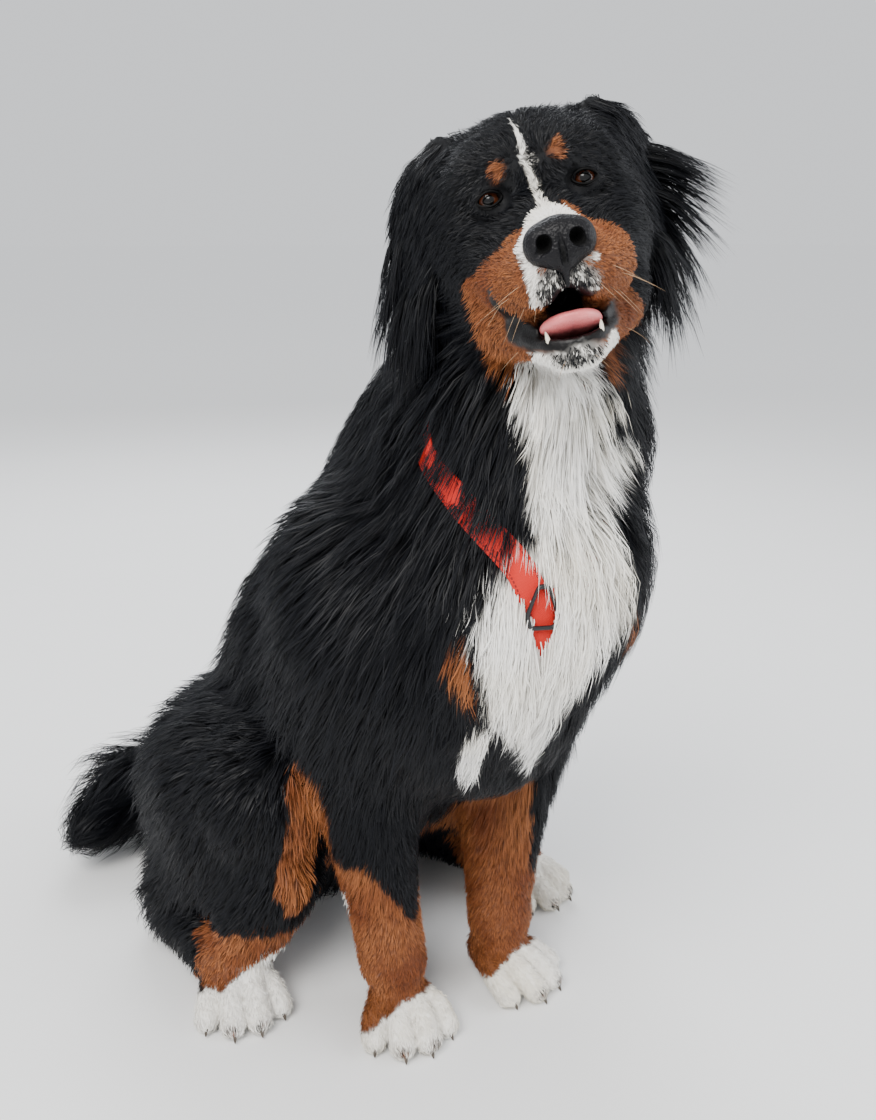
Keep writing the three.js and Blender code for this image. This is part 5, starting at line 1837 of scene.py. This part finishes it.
@dataclass
class Skin:
    """The one skin of the dog."""

    form: Form
    cell: float = 2.8
    most_faces: int = 170000
    low: tuple = (-262.0, -240.0, -4.0)
    high: tuple = (252.0, 640.0, 880.0)

    def build(self, finish: Finish) -> Piece:
        """Casts, thins and colours the skin.

        Args:
            finish: Its material.

        Returns:
            The skin.
        """
        places, faces = cast(self.form.skin, self.low, self.high, self.cell)
        places[2] = np.maximum(places[2], 0.3)
        piece = mesh_object("skin", places, faces)
        apply_modifier(piece, "TRIANGULATE")
        ratio = min(1.0, self.most_faces / len(piece.data.polygons))
        apply_modifier(piece, "DECIMATE", ratio=ratio)
        piece.data.polygons.foreach_set("use_smooth", np.ones(len(piece.data.polygons), bool))
        piece.data.materials.append(finish)
        return piece


@dataclass
class Face:
    """The pieces of the face, and the claws."""

    form: Form
    seed: int = 61  # of the whiskers
    lid_steps: int = 44
    whisker_roots: tuple = (  # of the left side, with the length of each over the longest
        (24, -88, -62, 0.8), (31, -76, -66, 1.0), (36, -64, -67, 0.9), (27, -82, -74, 0.8),
        (34, -68, -78, 1.0), (20, -92, -70, 0.6), (10, -84, -118, 0.5), (40, -50, -108, 0.7),
    )

    def in_head(self, name: str, each: Field, low: tuple, high: tuple, cell: float) -> Piece:
        """Casts a small form of the head's frame.

        Args:
            name: The piece's name.
            each: Its field.
            low: The lowest corner of its box.
            high: The highest corner.
            cell: The size of a cell.

        Returns:
            The piece.
        """
        places, faces = cast(each, low, high, cell)
        return mesh_object(name, moved(places, self.form.head_frame), faces)

    def nose(self) -> Piece:
        """Makes the nose.

        Returns:
            The nose, with the depth under its outer form stored, by which its finish paints shade
            inside the nostrils.
        """
        pad = blend(
            5,
            egg((0, -98, -40), (20, 15, 15.5)),
            mirrored(egg((13, -100, -42), (11, 13, 13))),
            egg((0, -100, -50), (13, 13, 11)),
        )
        solid = blend(2.5, pad, balls((0, -104, -58, 3), (0, -99, -70, 1.4)))
        slit = balls((12.5, -113.5, -45.5, 3.4), (20, -111, -49.5, 2.9), (28, -101, -49, 2.4))
        holes = blend(2.5, egg((10.8, -113, -41), (5.2, 12, 5.8)), slit)
        nostrils = mirrored(holes)
        groove = balls(
            (0, -113, -34, 0.8), (0, -113.5, -44, 2.3), (0, -113, -52, 2.6), (0, -107.5, -62, 1.8),
            (0, -102, -70, 1.2),
        )
        open_pad = carved(solid, nostrils, groove)
        piece = self.in_head("nose", open_pad, (-30, -122, -80), (30, -76, -14), 0.8)
        q = moved(form_places(piece), self.form.to_head)
        # How deep under the outer form each place lies, inside the nostrils, where the finish paints
        # shade.
        deep = smooth(0.8, 3.0, -solid(q, 0.0))
        store(piece, "coat", np.stack((deep, deep, deep, deep)))
        return piece

    def tongue(self) -> Piece:
        """Makes the tongue.

        Returns:
            The tongue, with its crease.
        """
        halves = mirrored(egg((7, -64, -96.5), (14, 24, 5.5), 0, -14))
        solid = blend(5, egg((0, -56, -97), (21, 35, 6), 0, -14), halves)

        def creased(p: Array, share: Share = 0.0) -> Array:
            """Returns the distance at each place."""
            return solid(p, share) + 0.9 * np.exp(-((p[0] / 2.2) ** 2)) * smooth(-84, -60, p[1])

        return self.in_head("tongue", creased, (-24, -96, -116), (24, -16, -80), 0.9)

    def teeth(self) -> Piece:
        """Makes the two lower canines.

        Returns:
            Both, as one piece.
        """
        runs = []
        for side in (-1, 1):
            places = [((18 + t) * side, -80 + 2 * t, -106 + 9.5 * t) for t in (0, 0.3, 0.6, 0.85, 1)]
            runs.append((places, [1.8, 1.8, 1.5, 0.9, 0.3]))
        places, faces = rods(runs, 10, False)
        return mesh_object("teeth", moved(places, self.form.head_frame), faces)

    def lids(self) -> Piece:
        """Makes the dark rims of the lids.

        Returns:
            The rims of both eyes, as one piece.
        """
        runs = []
        for side in (-1, 1):
            line = []
            for i in range(self.lid_steps):
                a = 2 * math.pi * i / self.lid_steps
                c, s = math.cos(a), math.sin(a)
                x, z = 9.2 * c, (5.5 if s > 0 else 4.8) * s * (1 - 0.25 * c * c) - 0.5 * c
                deep = math.sqrt(max(0.0, 1 - (x / (EYE_R + 3)) ** 2 - (z / (EYE_R + 1)) ** 2))
                line.append(((EYE_APART + 0.6 + x) * side, 0.6 - (EYE_R + 3.5) * deep, z))
            runs.append((line, [1.0] * self.lid_steps))
        places, faces = rods(runs, 8, True)
        return mesh_object("lid_rims", moved(places, self.form.head_frame), faces)

    def whiskers(self) -> Piece:
        """Makes the whiskers of the lips and chin.

        Returns:
            All of them, as one piece.
        """
        dice = np.random.default_rng(self.seed)
        roots = [(side * x, y, z, size) for side in (-1, 1) for x, y, z, size in self.whisker_roots]
        runs = []
        for x, y, z, size in roots:
            side = math.copysign(1, x)
            p = np.array([[x], [y], [z]], np.float32)
            for _ in range(3):
                out, value = self.form.slope(p, 0.2, self.form.head)
                p = p - out * value
            way = out[:, 0] * 0.9 + np.array((0.35 * side, -0.1, -0.35)) + dice.normal(0, 0.12, 3)
            way = way / np.linalg.norm(way)
            length = size * dice.uniform(20, 32)
            bend = np.array((0.1 * side, 0.35, -0.35)) + dice.normal(0, 0.08, 3)
            line = [
                p[:, 0] + way * (length * t) + bend * (length * 0.5 * t * t)
                for t in np.linspace(0, 1, 6)
            ]
            runs.append((line, [0.14, 0.13, 0.12, 0.1, 0.07, 0.03]))
        places, faces = rods(runs, 5, False)
        return mesh_object("whiskers", moved(places, self.form.head_frame), faces)

    def claws(self) -> Piece:
        """Makes the claws.

        Returns:
            Those of the four feet, as one piece.
        """
        runs = []
        for place in (self.form.front_paw, self.form.hind_paw):
            frame = self.form.paw_frame(place)
            for side in (-1, 1):
                for x, y in ((-38, -39), (-13, -58), (13, -58), (38, -39)):
                    lean = 0.12 * x / 12
                    line = []
                    for t in (0.0, 0.25, 0.5, 0.75, 0.92, 1.0):
                        q = frame @ Vector((x + lean * 6 * t, y - 6 * t, 10 - 2 * t - 5 * t * t))
                        line.append((q.x * side, q.y, q.z))
                    runs.append((line, [2.3, 2.2, 1.9, 1.5, 0.9, 0.3]))
        places, faces = rods(runs, 10, False)
        return mesh_object("claws", places, faces)

    def eye(self, side: int) -> Piece:
        """Makes one eye.

        Args:
            side: 1 for the left eye, -1 for the right one.

        Returns:
            The eye, with the distance from the middle of its iris stored.
        """
        bpy.ops.object.select_all(action="DESELECT")
        bpy.ops.mesh.primitive_uv_sphere_add(segments=48, ring_count=32, radius=EYE_R)
        piece = bpy.context.object
        piece.name = piece.data.name = "eye_left" if side > 0 else "eye_right"
        co = np.empty(len(piece.data.vertices) * 3, np.float32)
        piece.data.vertices.foreach_get("co", co)
        p = co.reshape(-1, 3).T
        gaze = unit(np.array([[0.12 * side], [-1.0], [-0.02]], np.float32))
        face = (p * gaze).sum(0) / EYE_R
        radius = np.sqrt(np.maximum(0, 1 - face**2)) / 0.62
        radius = np.where(face > 0, radius, 2)
        bulge = 1 + 0.06 * (1 - smooth(0.0, 1.1, radius))
        local = p * bulge + np.array([[EYE_APART * side], [2.0], [0.0]], np.float32)
        spoke = np.arctan2(p[2], p[0])
        rays = 0.5 + 0.5 * np.sin(spoke * 23) * np.sin(spoke * 9 + 1)
        world = moved(local, self.form.head_frame)
        world[1] -= SEAT_Y
        piece.data.vertices.foreach_set("co", (world * MM).T.astype(np.float32).ravel())
        store(piece, "coat", np.stack((np.minimum(radius, 1.5), rays, rays, rays)))
        piece.data.polygons.foreach_set("use_smooth", np.ones(len(piece.data.polygons), bool))
        piece.data.update()
        return piece


@dataclass
class Harness:
    """The walking harness: straps of webbing and the ring on the breast."""

    form: Form
    width: float = 25.0
    thick: float = 3.0
    core: float = 0.45
    lift: float = 2.2
    sink: float = 9.0  # how much deeper the straps lie where the coat covers them
    every: float = 6.0  # between the places along a strap
    every_hidden: float = 9.0  # the same where it only parts the coat
    parted: float = 11.0  # how far below and over a strap the coat gives way too
    breast: tuple = (-46, -129, 490)
    ring_corners: tuple = ((4, 17), (-4, 17), (-13, -7), (-10, -17), (10, -17), (13, -7))
    ring_bar: float = 2.1  # half its width

    def routes(self) -> dict[str, tuple[list[tuple], bool]]:
        """Gives the straps' runs.

        Returns:
            Each strap's points round the body, and whether it is a closed band.
        """
        girth = [(132, 186, 322), (130, 206, 372), (112, 236, 440), (62, 262, 496)]
        return {
            "harness_neck_strap": (
                [
                    self.breast,
                    (-60, -117, 521), (-86, -71, 569), (-95, -17, 611), (-92, 40, 642),
                    (-50, 120, 680), (10, 135, 690), (70, 110, 670), (105, 40, 630), (96, -30, 600),
                    (70, -98, 556), (10, -125, 512),
                ],
                True,
            ),
            "harness_breast_strap": (
                [(-46, -130, 488), (-34, -112, 400), (-12, -62, 335), (0, 20, 290), (0, 150, 262)],
                False,
            ),
            "harness_girth_strap": (
                [*girth, (0, 272, 512), *[(-x, y, z) for x, y, z in reversed(girth)]],
                False,
            ),
            "harness_back_strap": ([(8, 152, 676), (4, 200, 620), (0, 254, 530)], False),
        }

    def sections(self) -> tuple[Array, Array]:
        """Gives places along the straps, by which the coat gives way.

        Returns:
            Those where the straps show, and those where the coat covers them.
        """
        neck = self.routes()["harness_neck_strap"][0]
        shown = self.shown_route()
        lean = self.settle(shown, self.lift)[1]
        lower = unit(np.cross(np.gradient(shown, axis=1).T, lean.T).T)
        lower = lower * np.sign(-lower[2:3])
        away = smooth(26, 60, np.sqrt(((shown - np.array(self.breast)[:, None]) ** 2).sum(0)))
        shown = (shown + lower * self.parted * away).astype(np.float32)
        rest = [smooth_route([*neck[4:], self.breast], False, self.every_hidden)[:, 1:-2]]
        for name, (points, closed) in self.routes().items():
            if name != "harness_neck_strap":
                rest.append(smooth_route(points, closed, self.every_hidden))
        hidden = np.concatenate(rest, 1).astype(np.float32)
        above = self.lift + self.thick / 2
        layers = [self.settle(shown, above + height)[0] for height in (0.0, self.parted)]
        return np.concatenate(layers, 1), self.settle(hidden, above)[0]

    def shown_route(self) -> Array:
        """Gives the part of the harness that shows.

        Returns:
            Places from under the ring up the neck strap.
        """
        points = [(-45, -131, 472), *self.routes()["harness_neck_strap"][0][:3], (-93, -46, 590)]
        return smooth_route(points, False, self.every).astype(np.float32)

    def settle(self, p: Array, height: float | Array) -> tuple[Array, Array]:
        """Moves places to a height over the form's core.

        Args:
            p: The places.
            height: The height, one for all or one for each.

        Returns:
            The places there, and the directions out of the form.
        """
        for _ in range(5):
            out, value = self.form.slope(p, self.core)
            p = p + out * (height - value)
        return p, out

    def strap(self, name: str, points: list[tuple], closed: bool) -> Piece:
        """Lays one strap.

        Args:
            name: The piece's name.
            points: Its route round the body.
            closed: Whether it is a closed band.

        Returns:
            The strap, with its route as a UV map in metres.
        """
        route = smooth_route(points, closed, self.every).astype(np.float32)
        sunk = smooth(8, 50, distance_to(route, self.shown_route()))
        p, out = self.settle(route, self.lift - self.sink * sunk)
        count = p.shape[1]
        if closed:
            ahead = np.roll(p, -1, 1) - np.roll(p, 1, 1)
        else:
            ahead = np.gradient(p, axis=1)
        for _ in range(4):
            out = unit(out + np.roll(out, 1, 1) + np.roll(out, -1, 1)) if closed else unit(out)
        across = unit(np.cross(ahead.T, out.T).T) * (self.width / 2)
        thick, edge = self.thick, self.thick * 0.3
        shape = [(-1, edge), (-0.94, 0), (0.94, 0), (1, edge), (1, thick - edge), (0.94, thick)]
        shape += [(0.3, thick + 0.3), (-0.3, thick + 0.3), (-0.94, thick), (-1, thick - edge)]
        rings = np.stack([p + across * w + out * h for w, h in shape])
        vertices = rings.transpose(1, 2, 0).reshape(3, -1)
        piece = mesh_object(name, vertices, tube_faces(count, len(shape), closed))
        run = np.concatenate(([0], np.cumsum(np.sqrt((np.diff(p, axis=1) ** 2).sum(0)))))
        if closed:
            run = np.append(run, run[-1] + run[1])
        self.lay_map(piece, run, [w * self.width / 2 for w, _ in shape])
        return piece

    def lay_map(self, piece: Piece, run: Array, across: list[float]) -> None:
        """Stores the strap's length and width as its UV map, in metres.

        Args:
            piece: The strap.
            run: How far along the strap each of its rings of corners is.
            across: How far across it each corner of a ring is.
        """
        values = []
        for a, b in zip(run, run[1:]):
            for here, after in zip(across, (*across[1:], across[0])):
                values += [(a, here), (a, after), (b, after), (b, here)]
        layer = piece.data.uv_layers.new(name="webbing")
        layer.data.foreach_set("uv", (np.array(values) * MM).astype(np.float32).ravel())

    def ring(self) -> Piece:
        """Makes the ring.

        Returns:
            The three-sided ring under which the straps meet.
        """
        breast = np.array(self.breast, np.float32)[:, None]
        place, _ = self.settle(breast, self.lift + self.thick + 1.2)
        _, out = self.settle(breast, 0.0)
        out = Vector(out[:, 0])
        right = Vector((0, 0, 1)).cross(out).normalized()
        up = out.cross(right)
        line = smooth_corners(self.ring_corners, 3.5, 5)
        sides = 10
        rings = []
        for (x, y), (nx, ny) in line:
            for s in range(sides):
                a = 2 * math.pi * s / sides
                inwards = self.ring_bar * math.cos(a)
                flat = Vector(place[:, 0]) + right * (x + nx * inwards)
                rings.append(flat + up * (y + ny * inwards) + out * (2.5 + 2.0 * math.sin(a)))
        faces = tube_faces(len(line), sides, True)[:, [0, 3, 2, 1]]
        return mesh_object("harness_ring_detail", np.array(rings).T, faces)


def smooth_route(points: list[tuple], closed: bool, every: float) -> Array:
    """Draws a smooth line through points.

    Args:
        points: Its points.
        closed: Whether it joins up.
        every: The distance between the places that it gives.

    Returns:
        Evenly spaced places.
    """
    p = np.array(points, float)
    if closed:
        p = np.vstack((p[-1:], p, p[:2]))
    else:
        p = np.vstack((2 * p[:1] - p[1:2], p, 2 * p[-1:] - p[-2:-1]))
    fine = []
    for a, b, c, d in zip(p, p[1:], p[2:], p[3:]):
        gaps = [max(1e-3, np.linalg.norm(v) ** 0.5) for v in (b - a, c - b, d - c)]
        knots = np.cumsum([0] + gaps)
        for t in np.linspace(knots[1], knots[2], 40, endpoint=False):

            def mix(u: Array, v: Array, i: int, j: int) -> Array:
                """Returns two places mixed, as t lies between two knots."""
                gap = knots[j] - knots[i]
                return (knots[j] - t) / gap * u + (t - knots[i]) / gap * v

            ab, bc, cd = mix(a, b, 0, 1), mix(b, c, 1, 2), mix(c, d, 2, 3)
            fine.append(mix(mix(ab, bc, 0, 2), mix(bc, cd, 1, 3), 1, 2))
    if not closed:
        fine.append(p[-2])
    fine = np.array(fine)
    ends = np.vstack((fine, fine[:1])) if closed else fine
    run = np.concatenate(([0], np.cumsum(np.linalg.norm(np.diff(ends, axis=0), axis=1))))
    count = int(run[-1] / every) + 1
    at = np.linspace(0, run[-1], count + 1)[: -1 if closed else None]
    return np.stack([np.interp(at, run, ends[:, i]) for i in range(3)])


def smooth_corners(corners: tuple, radius: float, steps: int) -> list[tuple]:
    """Rounds a flat outline.

    Args:
        corners: Its corners, in turn.
        radius: How far from a corner its bend begins.
        steps: Places in each bend.

    Returns:
        Places with their directions inwards.
    """
    line = []
    count = len(corners)
    middle = Vector((sum(c[0] for c in corners) / count, sum(c[1] for c in corners) / count))
    for i, corner in enumerate(corners):
        here = Vector(corner)
        before = here + (Vector(corners[i - 1]) - here).normalized() * radius
        after = here + (Vector(corners[(i + 1) % count]) - here).normalized() * radius
        for s in range(steps + 1):
            t = s / steps
            place = before * (1 - t) ** 2 + here * 2 * t * (1 - t) + after * t * t
            line.append((tuple(place), tuple((middle - place).normalized())))
    return line


# ------------ stage


@dataclass
class Studio:
    """The floor, the lights and the camera at the photograph's angle. Lengths are in metres."""

    camera_at: tuple = (-0.608, -1.1885, 0.772)
    yaw: float = 35.0
    pitch: float = 15.8
    focal: float = 36.96  # in millimetres, on a sensor 36 wide
    aim: tuple = (0, -0.15, 0.45)  # what the lights point at

    def camera(self) -> Piece:
        """Adds the camera, as the scene's own.

        Returns:
            The camera.
        """
        data = bpy.data.cameras.new("camera")
        data.sensor_fit = "AUTO"
        data.sensor_width = 36.0
        data.lens = self.focal
        made = bpy.data.objects.new("camera", data)
        bpy.context.scene.collection.objects.link(made)
        made.location = self.camera_at
        turn = (math.radians(90 - self.pitch), 0, math.radians(-self.yaw))
        made.rotation_euler = Euler(turn, "XYZ")
        bpy.context.scene.camera = made
        return made

    def light(self, name: str, place: tuple, size: float, power: float, colour: tuple) -> None:
        """Adds a soft light that points at the dog.

        Args:
            name: Its name.
            place: Where it hangs.
            size: Its width.
            power: Its power in watts.
            colour: Its colour.
        """
        data = bpy.data.lights.new(name, "AREA")
        data.size = size
        data.energy = power
        data.color = colour
        made = bpy.data.objects.new(name, data)
        bpy.context.scene.collection.objects.link(made)
        made.location = place
        way = Vector(self.aim) - Vector(place)
        made.rotation_euler = way.to_track_quat("-Z", "Y").to_euler()

    def floor(self) -> Piece:
        """Adds the wide, plain floor.

        Returns:
            The floor, paler far off, where it meets the light of the world.
        """
        bpy.ops.object.select_all(action="DESELECT")
        bpy.ops.mesh.primitive_plane_add(size=160, location=(0, 0, 0))
        floor = bpy.context.object
        floor.name = "floor"
        made = bpy.data.materials.new("floor")
        made.use_nodes = True
        sheet = Sheet(made.node_tree)
        place = sheet.place()
        away = sheet.node("ShaderNodeVectorMath", {0: place}, operation="LENGTH").outputs["Value"]
        mottle = sheet.noise(place, 3.0, 4.0)
        near = sheet.mix(mottle, (0.85, 0.85, 0.845, 1), (0.88, 0.88, 0.875, 1))
        pale = sheet.ramp(away, 1.0, 7.0, "SMOOTHSTEP")
        inputs = {
            "Base Color": sheet.mix(pale, near, (0.985, 0.985, 0.985, 1)),
            "Roughness": 1.0,
            "Specular IOR Level": 0.0,
        }
        sheet.fill(made.node_tree.nodes["Principled BSDF"], inputs)
        floor.data.materials.append(made)
        return floor

    def build(self) -> None:
        """Builds floor, lights and camera."""
        floor = self.floor()
        world = bpy.data.worlds.new("studio")
        world.use_nodes = True
        sheet = Sheet(world.node_tree)
        sheet.fill(world.node_tree.nodes["Background"], {0: (0.95, 0.97, 1.0, 1), 1: 1.0})
        bpy.context.scene.world = world
        self.light("key", (-1.9, -1.6, 2.6), 1.7, 135, (1.0, 0.98, 0.95))
        self.light("fill", (1.8, -1.8, 1.4), 2.2, 45, (0.95, 0.97, 1.0))
        self.light("rim", (0.9, 2.0, 2.4), 1.6, 60, (0.93, 0.96, 1.0))
        self.camera()


def main() -> None:
    """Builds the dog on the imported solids."""
    logging.basicConfig(level=logging.INFO, format="%(message)s")
    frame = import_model()
    nodes = frame["nodes"]
    Studio().build()
    finishes = Finishes()
    form = Form()
    markings = Markings(form)

    flesh = [
        name
        for name in nodes
        if not name.startswith("harness") and name not in ("nose", "tongue", "eye_left", "eye_right")
    ]
    skin = Skin(form).build(finishes.skin())
    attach(skin, "root")
    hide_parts(*flesh)
    log.info("skin: %d faces for %s", len(skin.data.polygons), ", ".join(sorted(flesh)))

    face = Face(form)
    eye_finish = finishes.eye()
    for piece, node, slot, finish in (
        (face.nose(), "nose", "nose_leather", finishes.nose()),
        (face.tongue(), "tongue", "tongue", finishes.tongue()),
        (face.eye(-1), "eye_right", "iris", eye_finish),
        (face.eye(1), "eye_left", "iris", eye_finish),
    ):
        piece.name = piece.name + "_detail"
        piece.data.materials.clear()
        piece.data.materials.append(finish)
        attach(piece, "root")
        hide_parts(node)

    for piece, slot, look in (
        (face.lids(), "nose_leather", LID_EDGE),
        (face.whiskers(), "coat_white", WHISKER),
        (face.claws(), "nose_leather", HORN),
        (face.teeth(), "coat_white", TOOTH),
    ):
        piece.data.materials.append(finishes.plain(look))
        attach(piece, "root")

    harness = Harness(form)
    webbing = finishes.webbing()
    for name, (points, closed) in harness.routes().items():
        strap = harness.strap(name + "_webbing", points, closed)
        strap.data.materials.append(webbing)
        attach(strap, "root")
        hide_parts(name)
    ring = harness.ring()
    ring.data.materials.append(finishes.plain(RING_BLACK))
    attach(ring, "root")
    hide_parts("harness_ring")

    hair = finishes.hair()
    coat = Coat(form, markings, skin, *harness.sections())
    coat.paint()
    for piece in coat.build():
        piece.data.materials.append(hair)
        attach(piece, "root")


if __name__ == "__main__":
    main()
